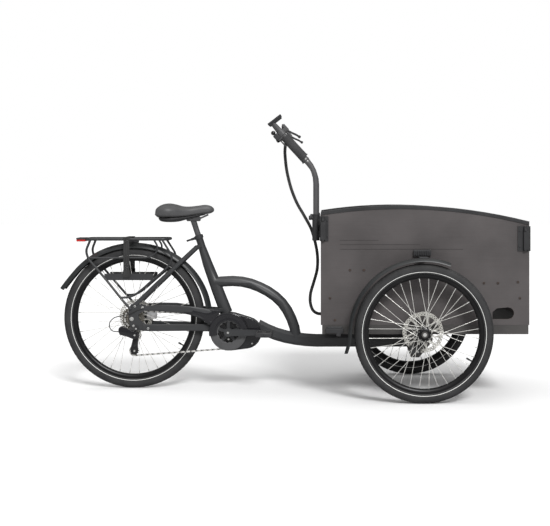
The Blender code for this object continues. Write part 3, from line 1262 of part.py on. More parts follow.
def handlebar(body, lever_bodies, shifter_body):
    """The hoop with its master cylinders, grips, display, levers and shifter."""
    half = handlebar_route()
    other = [Vector((p.x, -p.y, p.z)) for p in reversed(half)]
    hoop = sweep(half + other, circle(BAR_R, 12))
    rise, ahead = bar_directions()
    masters = []
    for side in (-1, 1):
        y = side * BAR_HALF_SPAN
        top = rear(BAR_TOP_X, y, BAR_TOP_Z)
        spot = top - rise * (CONTROL_DROP - 0.023)
        masters.append(sweep([spot, spot - rise * 0.024], circle(0.0190, 10)))
        arm = spot - rise * 0.011
        masters.append(sweep([arm + ahead * 0.010, arm + ahead * BRAKE_PIVOT_AHEAD],
                             rectangle(0.018, 0.020, 0.003),
                             side=(0, 1, 0)))
        barrel = top - rise * CONTROL_DROP + ahead * BRAKE_PIVOT_AHEAD
        masters.append(sweep([barrel + rise * 0.034, barrel], circle(MASTER_R, 8)))
    stem = rear(BAR_TOP_X, 0, BAR_TOP_Z)
    face = Vector((-0.61, 0, 0.79)).normalized()
    mount = sweep([stem, stem + face * DISPLAY_RISE], rectangle(0.030, 0.024, 0.003), side=(0, 1, 0))
    shifter = rear(BAR_TOP_X, -BAR_HALF_SPAN, BAR_TOP_Z) - rise * CONTROL_DROP
    masters.append(sweep([shifter, shifter - ahead * SHIFTER_DROP],
                         rectangle(SHIFTER_SIDE, SHIFTER_SIDE, 0.003), side=(0, 1, 0)))
    add_piece("handlebar", combine(hoop, masters + [mount]), BLACK_FRAME, body)
    for side, tag in ((-1, "right"), (1, "left")):
        top = rear(BAR_TOP_X, side * BAR_HALF_SPAN, BAR_TOP_Z)
        start = top - rise * (GRIP_FROM_TOP + 0.012)
        end = start - rise * GRIP_LENGTH
        shell = sweep([start, start.lerp(end, 0.06), start.lerp(end, 0.94), end], circle(GRIP_R, 12),
                      scales=[1.08, 1.0, 1.0, 1.12])
        bore = sweep([start + rise * 0.01, end - rise * 0.01], circle(BAR_R + GAP, 12))
        add_piece("grip_" + tag, combine(shell, [bore], "DIFFERENCE"), RUBBER, body)
        arm = lever_pivot(side) + rise * BRAKE_PIVOT_IN
        blade = [arm, arm - rise * 0.002, arm - rise * 0.020 + ahead * 0.006,
                 arm - rise * 0.038 + ahead * 0.014,
                 arm - rise * 0.056 + ahead * 0.019]
        lever = sweep(blade, rectangle(0.012, 0.009, 0.002), scales=[0.5, 1, 1, 1, 0.9], side=(0, 1, 0))
        tip = bmesh.new()
        bmesh.ops.create_icosphere(tip, subdivisions=1, radius=0.0075)
        bmesh.ops.translate(tip, vec=blade[-1], verts=tip.verts)
        add_piece("brake_lever_" + tag, combine(lever, [finish_mesh(tip)]), DARK_STEEL, lever_bodies[side])
    slope = Vector((face.z, 0, -face.x))
    middle = stem + face * (DISPLAY_RISE + GAP + 0.005)
    screen = sweep([middle - slope * 0.022, middle + slope * 0.054], rectangle(0.062, 0.010, 0.002),
                   side=(0, 1, 0))
    add_piece("display", screen, SCREEN, body)
    start = paddle_pivot() + rise * PADDLE_PIVOT_IN
    paddle = sweep([start, start - rise * 0.003, start - rise * 0.036], rectangle(0.014, 0.006, 0.0015),
                   scales=[(0.2, 1), (1, 1), (1, 1)], side=(0, 1, 0))
    add_piece("shift_paddle", paddle, MATT_PLASTIC, shifter_body)


def handlebar_sleeves(body):
    """Two tubes on the box's rear wall, tied by a cross plate, which the hoop slides in."""
    parts = []
    wall_x = BOX_REAR + REAR_PANEL_INSET - GAP
    for side in (-1, 1):
        y = side * BAR_HALF_SPAN
        parts.append(cylinder(rear(BAR_X, y, SLEEVE_BASE_Z), rear(BAR_X, y, SLEEVE_TOP_Z), SLEEVE_R, 14))
        for z in (SLEEVE_BASE_Z + 0.014, SLEEVE_TOP_Z - 0.050):
            parts.append(block(rear(BAR_X + 0.010, y - 0.012, z),
                               rear(wall_x - 0.001, y + 0.012, z + 0.028)))
        parts.append(cylinder(rear(BAR_X - 0.010, y, SLEEVE_TOP_Z - 0.016),
                              rear(BAR_X - 0.032, y, SLEEVE_TOP_Z - 0.016),
                              0.009, 10))
    plate = block(rear(wall_x - 0.003, -BAR_HALF_SPAN - 0.014, SLEEVE_BASE_Z + 0.004),
                  rear(wall_x, BAR_HALF_SPAN + 0.014, SLEEVE_BASE_Z + 0.052))
    upper = []
    for side in (-1, 1):
        low, high = sorted((side * (BAR_HALF_SPAN - 0.014), side * (BAR_HALF_SPAN + 0.014)))
        upper.append(block(rear(wall_x - 0.003, low, SLEEVE_TOP_Z - 0.060),
                           rear(wall_x, high, SLEEVE_TOP_Z - 0.012)))
    whole = combine(parts[0], parts[1:] + [plate] + upper)
    bores = [cylinder(rear(BAR_X, side * BAR_HALF_SPAN, SLEEVE_BASE_Z - 0.02),
                      rear(BAR_X, side * BAR_HALF_SPAN, SLEEVE_TOP_Z + 0.02), BAR_R + GAP,
                      12) for side in (-1, 1)]
    add_piece("handlebar_sleeves", combine(whole, [gather(bores)], "DIFFERENCE"), EDGE_METAL, body)


def cable_bundle(body):
    """The ribbed sleeve of cables from the handlebar down into the box's rear wall."""
    points = [rear(x, CABLE_Y, z) for x, z in ((0.7150, 1.135), (0.7130, 1.095), (0.7190, 1.030),
                                               (0.7300, 0.975),
                                               (0.7460, 0.920), (0.7700, 0.863), (0.8030, 0.806),
                                               (0.8340, 0.746),
                                               (0.8540, 0.675), (0.8620, 0.615), (0.8590, 0.560),
                                               (0.8440, 0.505),
                                               (0.8300, 0.455), (0.8290, 0.412), (0.8410, 0.378),
                                               (0.8640, CABLE_ENTRY_Z))]
    points.append(rear(BOX_REAR + REAR_PANEL_INSET - 3 * GAP, CABLE_Y, CABLE_ENTRY_Z))
    cord("cable_bundle", points, CABLE_R, 0.034, 2, body)


def main():
    clear_scene()
    frame = body_at("frame", (0, 0, 0))
    hub_place = (REAR_AXLE_X, 0, REAR_AXLE_Z)
    main_frame(frame)
    rear_triangle(frame)
    motor(frame)
    chain(frame)
    derailleur(frame)
    gear_cable(frame)
    rear_mudguard(frame)
    rack(frame)
    hub = Vector(hub_place)
    caliper("rear_caliper", hub, 6, REAR_ROTOR_R, REAR_ROTOR_Y, HUB_HALF_SPACE, 0.0125, frame)
    cassette(body_at("cassette", hub_place, frame))
    rear_wheel(body_at("rear_wheel", hub_place, frame))
    crank_place = rear(CRANK_X, 0, CRANK_Z)
    crank = body_at("crank", crank_place, frame)
    crankset(crank)
    pedal(-1, body_at("pedal_right", crank_place + Vector((CRANK_LENGTH, -CRANK_ARM_Y, 0)), crank),
          "pedal_right")
    pedal(1, body_at("pedal_left", crank_place + Vector((-CRANK_LENGTH, CRANK_ARM_Y, 0)), crank),
          "pedal_left")
    pulley("guide_pulley", GUIDE_PULLEY_X, GUIDE_PULLEY_Z,
           body_at("guide_pulley", rear(GUIDE_PULLEY_X, CHAIN_Y, GUIDE_PULLEY_Z), frame))
    pulley("tension_pulley", TENSION_PULLEY_X, TENSION_PULLEY_Z,
           body_at("tension_pulley", rear(TENSION_PULLEY_X, CHAIN_Y, TENSION_PULLEY_Z), frame))
    post = body_at("seat_post", seat_axis(SEAT_TUBE_TOP), frame)
    lever = body_at("saddle_clamp_lever", seat_axis(LEVER_HEIGHT, -LEVER_EAR - GAP - LEVER_CAM_R), frame)
    saddle_parts(post, lever)
    front = body_at("front_assembly", rear(PIVOT_X, 0, RAIL_BASE_Z), frame)
    chassis(front)
    cargo_box(front)
    handlebar_sleeves(front)
    cable_bundle(front)
    for side, tag in ((-1, "front_right"), (1, "front_left")):
        wheel_place = Vector((REAR_AXLE_X + WHEELBASE, side * HALF_TRACK, FRONT_AXLE_Z))
        front_wheel(side, body_at(tag + "_wheel", wheel_place, front), tag)
        front_mudguard(side, front, tag + "_mudguard")
        caliper(tag + "_caliper", wheel_place, 245, FRONT_ROTOR_R, side * (HALF_TRACK - FRONT_ROTOR_INSET),
                side * (HALF_BOX + AXLE_PLATE), 0.018, front)
        corner_bracket(tag + "_corner", side, "front", front)
        corner_bracket(tag.replace("front", "rear") + "_corner", side, "rear", front)
    bar = body_at("handlebar", rear(BAR_X, 0, BAR_BEND_Z), front)
    levers = {}
    for side, tag in ((-1, "right"), (1, "left")):
        levers[side] = body_at("brake_lever_" + tag, lever_pivot(side), bar)
    paddle = body_at("shift_paddle", paddle_pivot(), bar)
    handlebar(bar, levers, paddle)


main()
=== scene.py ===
import json
from math import asin, atan2, ceil, cos, hypot, pi, radians, sin, sqrt

import bpy
from mathutils import Matrix, Vector

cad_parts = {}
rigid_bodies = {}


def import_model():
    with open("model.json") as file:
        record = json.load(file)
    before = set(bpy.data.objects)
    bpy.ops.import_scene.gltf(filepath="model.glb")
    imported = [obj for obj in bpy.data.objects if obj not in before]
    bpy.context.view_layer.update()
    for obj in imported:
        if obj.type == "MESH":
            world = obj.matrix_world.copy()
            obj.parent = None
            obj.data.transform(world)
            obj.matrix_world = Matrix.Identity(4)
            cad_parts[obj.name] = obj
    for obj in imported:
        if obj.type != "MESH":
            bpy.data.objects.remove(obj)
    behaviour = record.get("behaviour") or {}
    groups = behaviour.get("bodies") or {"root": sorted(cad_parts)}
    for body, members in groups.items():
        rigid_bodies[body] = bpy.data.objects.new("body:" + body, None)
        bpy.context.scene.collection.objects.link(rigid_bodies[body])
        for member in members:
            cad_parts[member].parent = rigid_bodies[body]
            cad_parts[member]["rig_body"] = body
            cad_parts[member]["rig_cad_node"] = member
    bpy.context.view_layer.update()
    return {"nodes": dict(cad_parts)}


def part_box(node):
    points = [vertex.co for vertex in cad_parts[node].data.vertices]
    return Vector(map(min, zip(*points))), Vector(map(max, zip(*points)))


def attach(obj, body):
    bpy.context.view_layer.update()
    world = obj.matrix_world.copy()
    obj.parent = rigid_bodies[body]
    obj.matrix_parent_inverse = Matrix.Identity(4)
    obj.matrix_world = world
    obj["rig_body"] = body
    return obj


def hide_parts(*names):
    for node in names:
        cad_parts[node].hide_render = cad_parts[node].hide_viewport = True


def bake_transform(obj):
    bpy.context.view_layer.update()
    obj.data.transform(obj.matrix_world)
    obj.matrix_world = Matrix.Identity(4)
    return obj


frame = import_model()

# ---- Camera and studio ----
# The cargo bike is seen square from its chain side, a little above the saddle's height, through a long lens.
# It stands on a pale studio floor in even white light, with one large soft lamp above and one from the front.
bpy.ops.object.camera_add(location=(0.171, -5.116, 0.890), rotation=(pi / 2, 0, 0))
camera = bpy.context.object
camera.data.lens = 71.2
camera.data.sensor_width = 36.0
camera.data.shift_x = -0.0918
camera.data.shift_y = -0.118
bpy.context.scene.camera = camera
bpy.context.scene.view_settings.view_transform = "Standard"


def dialled(node, settings):
    """Set a shader node's inputs, given by name or number."""
    for socket, value in dict(settings).items():
        node.inputs[socket].default_value = value
    return node


def node_of(tree, kind, settings=(), **options):
    """Add a shader node with its options and inputs."""
    made = tree.nodes.new(kind)
    for key, value in options.items():
        setattr(made, key, value)
    return dialled(made, settings)


def wired(tree, *wires):
    """Link shader nodes; each wire names a node and its output, then a node and its input."""
    for source, output, target, socket in wires:
        tree.links.new(source.outputs[output], target.inputs[socket])


bpy.ops.mesh.primitive_plane_add(size=60, location=(0, 0, -0.0005))
floor = bpy.context.object
floor.name = "studio_floor"
bpy.ops.object.transform_apply(location=True, rotation=True, scale=True)
floor_paint = bpy.data.materials.new("studio_floor_paint")
floor_paint.use_nodes = True
tree = floor_paint.node_tree
pale = dialled(tree.nodes["Principled BSDF"],
               {"Base Color": (0.96, 0.96, 0.96, 1), "Roughness": 0.9, "Specular IOR Level": 0.1})
seen_in_gloss = node_of(tree, "ShaderNodeBsdfDiffuse", {"Color": (0.24, 0.24, 0.24, 1)})
rays = node_of(tree, "ShaderNodeLightPath")
mix = node_of(tree, "ShaderNodeMixShader")
wired(tree, (rays, "Is Glossy Ray", mix, "Fac"), (pale, "BSDF", mix, 1), (seen_in_gloss, "BSDF", mix, 2),
      (mix, "Shader", tree.nodes["Material Output"], "Surface"))
floor.data.materials.append(floor_paint)

world = bpy.data.worlds.new("white_studio")
bpy.context.scene.world = world
world.use_nodes = True
sky = world.node_tree
white = (1, 1, 1, 1)
seen = dialled(sky.nodes["Background"], {"Color": white, "Strength": 1.0})
lit = node_of(sky, "ShaderNodeBackground", {"Color": white, "Strength": 0.46})
mirrored = node_of(sky, "ShaderNodeBackground", {"Color": white, "Strength": 0.14})
rays = node_of(sky, "ShaderNodeLightPath")
around_it = node_of(sky, "ShaderNodeMixShader")
either = node_of(sky, "ShaderNodeMixShader")
wired(sky, (rays, "Is Glossy Ray", around_it, "Fac"), (lit, "Background", around_it, 1),
      (mirrored, "Background", around_it, 2), (rays, "Is Camera Ray", either, "Fac"),
      (around_it, "Shader", either, 1), (seen, "Background", either, 2),
      (either, "Shader", sky.nodes["World Output"], "Surface"))
for lamp_name, aim, power, spread in (("front_key_light", (-0.42, 1.25, -1.05), 2.4, 18),
                                      ("high_soft_light", (0.0, 0.10, -1.0), 0.90, 90)):
    bpy.ops.object.light_add(type="SUN", location=(0, -3, 4))
    lamp = bpy.context.object
    lamp.name = lamp_name
    lamp.data.energy = power
    lamp.data.angle = radians(spread)
    lamp.rotation_euler = Vector(aim).to_track_quat("-Z", "Y").to_euler()

# ---- Cables, hoses and the gear cable ----
# Brake hoses, the shifter's cable and the display's wire share one ribbed black sleeve, 15 mm across, which
# hangs in a long bow from the handlebar to the box. A 4.4 mm gear cable loops round into the derailleur.
REAR_AXLE_X = -0.7270368


def at(x, y, z):
    """A point measured forwards from the rear axle."""
    return Vector((REAR_AXLE_X + x, y, z))


def deselect():
    """Leave every mesh, and select nothing."""
    if bpy.context.mode != "OBJECT":
        bpy.ops.object.mode_set(mode="OBJECT")
    bpy.ops.object.select_all(action="DESELECT")


def choose(piece):
    """Select this piece alone."""
    deselect()
    piece.select_set(True)
    bpy.context.view_layer.objects.active = piece


def tidy_mesh(piece):
    """Merge doubles, and turn all faces outwards."""
    choose(piece)
    bpy.ops.object.mode_set(mode="EDIT")
    bpy.ops.mesh.select_all(action="SELECT")
    bpy.ops.mesh.remove_doubles(threshold=0.00001)
    bpy.ops.mesh.normals_make_consistent(inside=False)
    bpy.ops.object.mode_set(mode="OBJECT")
    return piece


def smooth(piece, angle):
    """Shade smooth, apart from edges sharper than the angle."""
    choose(piece)
    bpy.ops.object.shade_smooth_by_angle(angle=radians(angle))
    return piece


def group_of(name, inputs, outputs):
    """A shader node group with named sockets, and its two end nodes."""
    group = bpy.data.node_groups.new(name, "ShaderNodeTree")
    for way, sockets in (("INPUT", inputs), ("OUTPUT", outputs)):
        for socket, kind in sockets.items():
            group.interface.new_socket(name=socket, in_out=way, socket_type="NodeSocket" + kind)
    return group, node_of(group, "NodeGroupInput"), node_of(group, "NodeGroupOutput")


def worked_surface_group():
    """Patchy colour, settled dust and a fine grain: what keeps a real surface from being one flat colour."""
    group, start, end = group_of("worked_surface",
                                 {"Colour": "Color", "Second Colour": "Color", "Patch Scale": "Float",
                                  "Grain Scale": "Float", "Roughness": "Float", "Roughness Swing": "Float",
                                  "Dust": "Float"}, {"Colour": "Color", "Roughness": "Float",
                                                     "Height": "Float"})
    place = node_of(group, "ShaderNodeTexCoord")
    patches = node_of(group, "ShaderNodeTexNoise", {"Detail": 4})
    spread = node_of(group, "ShaderNodeMapRange", {"From Min": 0.38, "From Max": 0.62})
    blend = node_of(group, "ShaderNodeMix", data_type="RGBA")
    grain = node_of(group, "ShaderNodeTexNoise", {"Detail": 2})
    facing = node_of(group, "ShaderNodeNewGeometry")
    split = node_of(group, "ShaderNodeSeparateXYZ")
    upward = node_of(group, "ShaderNodeMapRange", {"From Min": 0.35, "From Max": 1.0})
    settled = node_of(group, "ShaderNodeMath", operation="MULTIPLY")
    dusted = node_of(group, "ShaderNodeMath", operation="MULTIPLY", use_clamp=True)
    powder = node_of(group, "ShaderNodeMix", {"B": (0.26, 0.25, 0.235, 1)}, data_type="RGBA")
    swing = node_of(group, "ShaderNodeMath", {1: 0.5}, operation="SUBTRACT")
    swung = node_of(group, "ShaderNodeMath", operation="MULTIPLY_ADD")
    duller = node_of(group, "ShaderNodeMath", {1: 0.35}, operation="MULTIPLY_ADD", use_clamp=True)
    wired(group, (place, "Object", patches, "Vector"), (place, "Object", grain, "Vector"),
          (start, "Patch Scale", patches, "Scale"), (start, "Grain Scale", grain, "Scale"),
          (patches, "Fac", spread, "Value"), (spread, "Result", blend, "Factor"), (start, "Colour", blend, "A"),
          (start, "Second Colour", blend, "B"), (facing, "Normal", split, "Vector"),
          (split, "Z", upward, "Value"), (upward, "Result", settled, 0), (patches, "Fac", settled, 1),
          (settled, "Value", dusted, 0), (start, "Dust", dusted, 1), (dusted, "Value", powder, "Factor"),
          (blend, "Result", powder, "A"), (patches, "Fac", swing, 0), (swing, "Value", swung, 0),
          (start, "Roughness Swing", swung, 1), (start, "Roughness", swung, 2), (dusted, "Value", duller, 0),
          (swung, "Value", duller, 2), (powder, "Result", end, "Colour"), (duller, "Value", end, "Roughness"),
          (grain, "Fac", end, "Height"))
    return group


worked_surface = worked_surface_group()


def finish_from(name, group, settings, strength, relief, shine=()):
    """A material whose colour, roughness and relief all come from a shader node group."""
    material = bpy.data.materials.new(name)
    material.use_nodes = True
    tree = material.node_tree
    shader = dialled(tree.nodes["Principled BSDF"], shine)
    worked = node_of(tree, "ShaderNodeGroup", settings, node_tree=group)
    bump = node_of(tree, "ShaderNodeBump", {"Strength": strength, "Distance": relief})
    wired(tree, (worked, "Colour", shader, "Base Color"), (worked, "Roughness", shader, "Roughness"),
          (worked, "Height", bump, "Height"), (bump, "Normal", shader, "Normal"))
    return material


def surface(name, colour, second, roughness, metallic=0.0, patch=9.0, grain=900.0, swing=0.12, dust=0.10,
            relief=0.00004, coat=0.0):
    """A finish from the worked surface, between two colours."""
    return finish_from(name, worked_surface,
                       {"Colour": (*colour, 1), "Second Colour": (*second, 1), "Patch Scale": patch,
                        "Grain Scale": grain, "Roughness": roughness, "Roughness Swing": swing, "Dust": dust},
                       0.6, relief, {"Metallic": metallic, "Coat Weight": coat, "Coat Roughness": 0.08})


def fitted(piece, material, body, slot, *nodes):
    """Give a piece its material and body (None leaves it loose), and hide the CAD nodes it replaces; slot is
    not used.
    """
    piece.data.materials.clear()
    piece.data.materials.append(material)
    if body:
        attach(piece, body)
    if nodes:
        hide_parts(*nodes)
    return piece


def smooth_line(points, spacing):
    """Even points on a smooth curve through the given points."""
    points = [Vector(point) for point in points]
    padded = [2 * points[0] - points[1]] + points + [2 * points[-1] - points[-2]]
    fine = []
    for item in range(1, len(padded) - 2):
        p0, p1, p2, p3 = padded[item - 1:item + 3]
        for step in range(20):
            t = step / 20
            fine.append(0.5 * (2 * p1 + (p2 - p0) * t + (2 * p0 - 5 * p1 + 4 * p2 - p3) * t * t
                               + (3 * p1 - p0 - 3 * p2 + p3) * t ** 3))
    fine.append(points[-1])
    whole = sum((b - a).length for a, b in zip(fine, fine[1:]))
    count = max(2, ceil(whole / spacing))
    route = [fine[0]]
    walked = 0.0
    for a, b in zip(fine, fine[1:]):
        length = (b - a).length
        while len(route) < count and walked + length >= whole * len(route) / count:
            share = (whole * len(route) / count - walked) / length if length > 0 else 0.0
            route.append(a.lerp(b, share))
        walked += length
    route.append(fine[-1])
    return route


def pipe(name, points, radius, fineness=4, closed=False, swell=None):
    """A round tube along the points, its ends capped; swell gives each point's share of the radius."""
    line = bpy.data.curves.new(name, "CURVE")
    line.dimensions = "3D"
    line.bevel_depth = radius
    line.bevel_resolution = fineness
    line.use_fill_caps = not closed
    run = line.splines.new("POLY")
    run.points.add(len(points) - 1)
    for number, place in enumerate(points):
        run.points[number].co = (*place, 1)
        run.points[number].radius = swell[number] if swell else 1.0
    run.use_cyclic_u = closed
    piece = bpy.data.objects.new(name, line)
    bpy.context.scene.collection.objects.link(piece)
    choose(piece)
    bpy.ops.object.convert(target="MESH")
    return smooth(tidy_mesh(bpy.context.object), 50)


soft_rubber = surface("soft_black_rubber", (0.022, 0.022, 0.022), (0.030, 0.030, 0.030), 0.85, patch=30,
                      grain=1200, dust=0.2, relief=0.0001)
CLEAR = 0.0003
DROPOUT_FACE_Y = 0.0745
CABLE_R = 0.0022
CABLE_STEP = 0.006
cable_y = -DROPOUT_FACE_Y - CABLE_R - CLEAR
cable_points = [at(x, cable_y - out, z) for x, out, z in (
                    (0.054, 0, 0.3800), (0.025, 0.001, 0.3700), (-0.004, 0.004, 0.3560),
                    (-0.040, 0.008, 0.3460), (-0.078, 0.008, 0.3370), (-0.0985, 0.008, 0.3170),
                    (-0.1010, 0.008, 0.2950), (-0.0890, 0.008, 0.2770), (-0.0690, 0.008, 0.2725),
                    (-0.0503, 0.008, 0.2720))]
cable_line = smooth_line(cable_points, CABLE_STEP)
gear_cable = fitted(pipe("gear_cable_sleeve", cable_line, CABLE_R, 3), soft_rubber, "rear_frame", "rubber",
                    "gear_cable")

BUNDLE_Y = -0.150
BUNDLE_R = 0.0075
RIB_STEP = 0.0022
bundle_points = [at(x, BUNDLE_Y, z) for x, z in (
                     (0.7150, 1.135), (0.7130, 1.095), (0.7190, 1.030), (0.7300, 0.975), (0.7460, 0.920),
                     (0.7700, 0.863), (0.8030, 0.806), (0.8340, 0.746), (0.8540, 0.675), (0.8620, 0.615),
                     (0.8590, 0.560), (0.8440, 0.505), (0.8300, 0.455), (0.8290, 0.412), (0.8410, 0.378),
                     (0.8640, 0.363), (0.8881, 0.363))]
bundle_line = smooth_line(bundle_points, RIB_STEP)
bundle = pipe("ribbed_cable_sleeve", bundle_line, BUNDLE_R, 4,
              swell=[0.86 if number % 2 else 1.0 for number in range(len(bundle_line))])
fitted(bundle, soft_rubber, None, "rubber", "cable_bundle")
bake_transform(bundle)
hose_routes = (("brake_hose_right", 0.0040,
                ((0.7062, -0.2400, 1.2182), (0.7060, -0.2330, 1.2180), (0.7045, -0.2180, 1.2110),
                 (0.7040, -0.2010, 1.1930), (0.7080, -0.1800, 1.1700), (0.7130, -0.1620, 1.1480),
                 (0.7148, -0.1530, 1.1330))),
               ("brake_hose_left", 0.0025,
                ((0.7062, 0.2400, 1.2182), (0.7060, 0.2320, 1.2180), (0.7010, 0.2000, 1.2080),
                 (0.6950, 0.1400, 1.1960), (0.6930, 0.0600, 1.1890), (0.6940, -0.0200, 1.1850),
                 (0.6980, -0.0900, 1.1780), (0.7070, -0.1320, 1.1600), (0.7142, -0.1470, 1.1340))),
               ("shifter_cable", 0.0042,
                ((0.6800, -0.2400, 1.1500), (0.6850, -0.2250, 1.1430), (0.6940, -0.2000, 1.1500),
                 (0.7040, -0.1740, 1.1550), (0.7120, -0.1580, 1.1460), (0.7152, -0.1510, 1.1330))),
               ("display_wire", 0.0018,
                ((0.6660, 0.0000, 1.2030), (0.6720, -0.0200, 1.1960), (0.6860, -0.0700, 1.1880),
                 (0.7000, -0.1150, 1.1760), (0.7110, -0.1420, 1.1560), (0.7154, -0.1490, 1.1330))))
for name, radius, route in hose_routes:
    hose_line = smooth_line([at(*point) for point in route], CABLE_STEP)
    hose = fitted(pipe(name, hose_line, radius, 3), soft_rubber, "handlebar", "rubber")

# ---- Main frame ----
# The welded steel backbone: seat tube, arch tube, low main tube, motor bracket and steering pivot housing.
# Round and pressed steel tubes, powder coated in satin charcoal black, with the weld lines rounded over.
def round_edges(piece, width, segments=2, angle=38):
    """Round every edge sharper than the angle, as tumbling, moulding or paint does."""
    smooth(piece, angle)
    bevel = piece.modifiers.new("rounding", "BEVEL")
    bevel.width = width
    bevel.segments = segments
    bevel.limit_method = "ANGLE"
    bevel.angle_limit = radians(angle)
    bevel.harden_normals = True
    bpy.ops.object.modifier_apply(modifier=bevel.name)
    return piece


def from_cad(node, name, width, material, body, slot):
    """The CAD node's own shape, merged and with its hard edges rounded, fitted in the node's place."""
    source = frame["nodes"][node]
    piece = source.copy()
    piece.data = source.data.copy()
    piece.name = name
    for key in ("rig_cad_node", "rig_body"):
        if key in piece:
            del piece[key]
    piece.parent = None
    piece.hide_render = False
    piece.hide_viewport = False
    bpy.context.scene.collection.objects.link(piece)
    choose(piece)
    if piece.data.has_custom_normals:
        bpy.ops.mesh.customdata_custom_splitnormals_clear()
    bpy.ops.object.mode_set(mode="EDIT")
    bpy.ops.mesh.select_all(action="SELECT")
    bpy.ops.mesh.remove_doubles(threshold=0.00001)
    bpy.ops.mesh.dissolve_limited(angle_limit=radians(1))
    bpy.ops.object.mode_set(mode="OBJECT")
    return fitted(round_edges(piece, width), material, body, slot, node)


charcoal_coat = surface("charcoal_powder_coat", (0.030, 0.031, 0.033), (0.036, 0.037, 0.039), 0.42, patch=6,
                        grain=1400, dust=0.12)
from_cad("main_frame", "main_frame_tubes", 0.0016, charcoal_coat, "rear_frame", "frame_black")


def bolt_model(radius, height):
    """A button head bolt standing on the origin, with its socket."""
    deselect()
    bpy.ops.mesh.primitive_cylinder_add(vertices=12, radius=radius, depth=height, location=(0, 0, height / 2))
    head = bpy.context.object
    bpy.ops.object.transform_apply(location=True, rotation=True, scale=True)
    bpy.ops.object.mode_set(mode="EDIT")
    bpy.ops.mesh.select_mode(type="FACE")
    bpy.ops.mesh.select_all(action="DESELECT")
    bpy.ops.object.mode_set(mode="OBJECT")
    for side in head.data.polygons:
        side.select = side.normal.z > 0.9
    bpy.ops.object.mode_set(mode="EDIT")
    bpy.ops.mesh.bevel(offset=min(radius, height) * 0.35, segments=2, affect="EDGES")
    bpy.ops.mesh.select_all(action="DESELECT")
    bpy.ops.object.mode_set(mode="OBJECT")
    for side in head.data.polygons:
        side.select = side.normal.z > 0.98 and side.center.z > height * 0.95
    bpy.ops.object.mode_set(mode="EDIT")
    bpy.ops.mesh.inset(thickness=radius * 0.22, depth=0)
    bpy.ops.mesh.inset(thickness=radius * 0.02, depth=-height * 0.5)
    bpy.ops.object.mode_set(mode="OBJECT")
    return smooth(head, 30)


def standing(place, outward):
    """Where a model made on +Z goes to stand on a place, facing outward."""
    return Matrix.Translation(Vector(place)) @ Vector(outward).to_track_quat("Z", "Y").to_matrix().to_4x4()


def joined(name, parts):
    """The parts as one piece."""
    deselect()
    for part in parts:
        part.select_set(True)
    bpy.context.view_layer.objects.active = parts[0]
    bpy.ops.object.join()
    parts[0].name = name
    return parts[0]


def repeated(name, model, places, material, body, slot, *nodes):
    """Copies of one model at each place, joined and fitted as one piece; the model itself goes."""
    parts = []
    for place in places:
        part = model.copy()
        part.data = model.data.copy()
        part.data.transform(place)
        bpy.context.scene.collection.objects.link(part)
        parts.append(part)
    whole = joined(name, parts)
    bpy.data.objects.remove(model)
    return fitted(whole, material, body, slot, *nodes)


# ---- Rear triangle ----
# Seat stays, raised chain stays, lower stays and laser cut dropouts, all steel, welded and coated as the frame.
# Zinc plated bolts hold the rack's feet, the wheel's axle and the derailleur hanger to the dropouts.
from_cad("rear_triangle", "rear_stays_and_dropouts", 0.0012, charcoal_coat, "rear_frame", "frame_black")
plated_steel = surface("zinc_plated_steel", (0.66, 0.66, 0.64), (0.54, 0.54, 0.53), 0.30, metallic=0.5,
                       patch=60, grain=2500, swing=0.2, dust=0.05)
dropout_bolts = [standing(at(x, side * 0.0743, z), (0, side, 0)) for side in (-1, 1)
                 for x, z in ((0.0145, 0.3885), (0.0080, 0.2980), (0.0760, 0.2860), (0.0500, 0.3830))]
repeated("dropout_bolts", bolt_model(0.0055, 0.0038), dropout_bolts, plated_steel, "rear_frame", "steel")


def turned(name, profile, centre, steps, closed=True):
    """A ring or disc spun from (radius, along) points about an axis along Y through the centre."""
    mesh = bpy.data.meshes.new(name)
    places = [(centre[0] + radius, centre[1] + along, centre[2]) for radius, along in profile]
    edges = [(number, number + 1) for number in range(len(places) - 1)]
    if closed:
        edges.append((len(places) - 1, 0))
    mesh.from_pydata(places, edges, [])
    piece = bpy.data.objects.new(name, mesh)
    bpy.context.scene.collection.objects.link(piece)
    choose(piece)
    bpy.ops.object.mode_set(mode="EDIT")
    bpy.ops.mesh.select_all(action="SELECT")
    bpy.ops.mesh.spin(steps=steps, angle=2 * pi, center=centre, axis=(0, 1, 0))
    bpy.ops.object.mode_set(mode="OBJECT")
    return smooth(tidy_mesh(piece), 32)


REAR_AXLE_Z = 0.32998
SIDES = ((-1, "right"), (1, "left"))
axle_nut_profile = ((0, -0.0095), (0.0035, -0.0095), (0.0048, -0.0085), (0.0048, -0.0060), (0.0088, -0.0055),
                    (0.0095, -0.0040), (0.0095, 0.0), (0.0, 0.0))
for side, tag in SIDES:
    nut = turned("rear_axle_nut_" + tag, [(radius, -side * along) for radius, along in axle_nut_profile],
                 at(0, side * DROPOUT_FACE_Y, REAR_AXLE_Z), 18, closed=False)
    fitted(nut, plated_steel, "rear_frame", "steel")

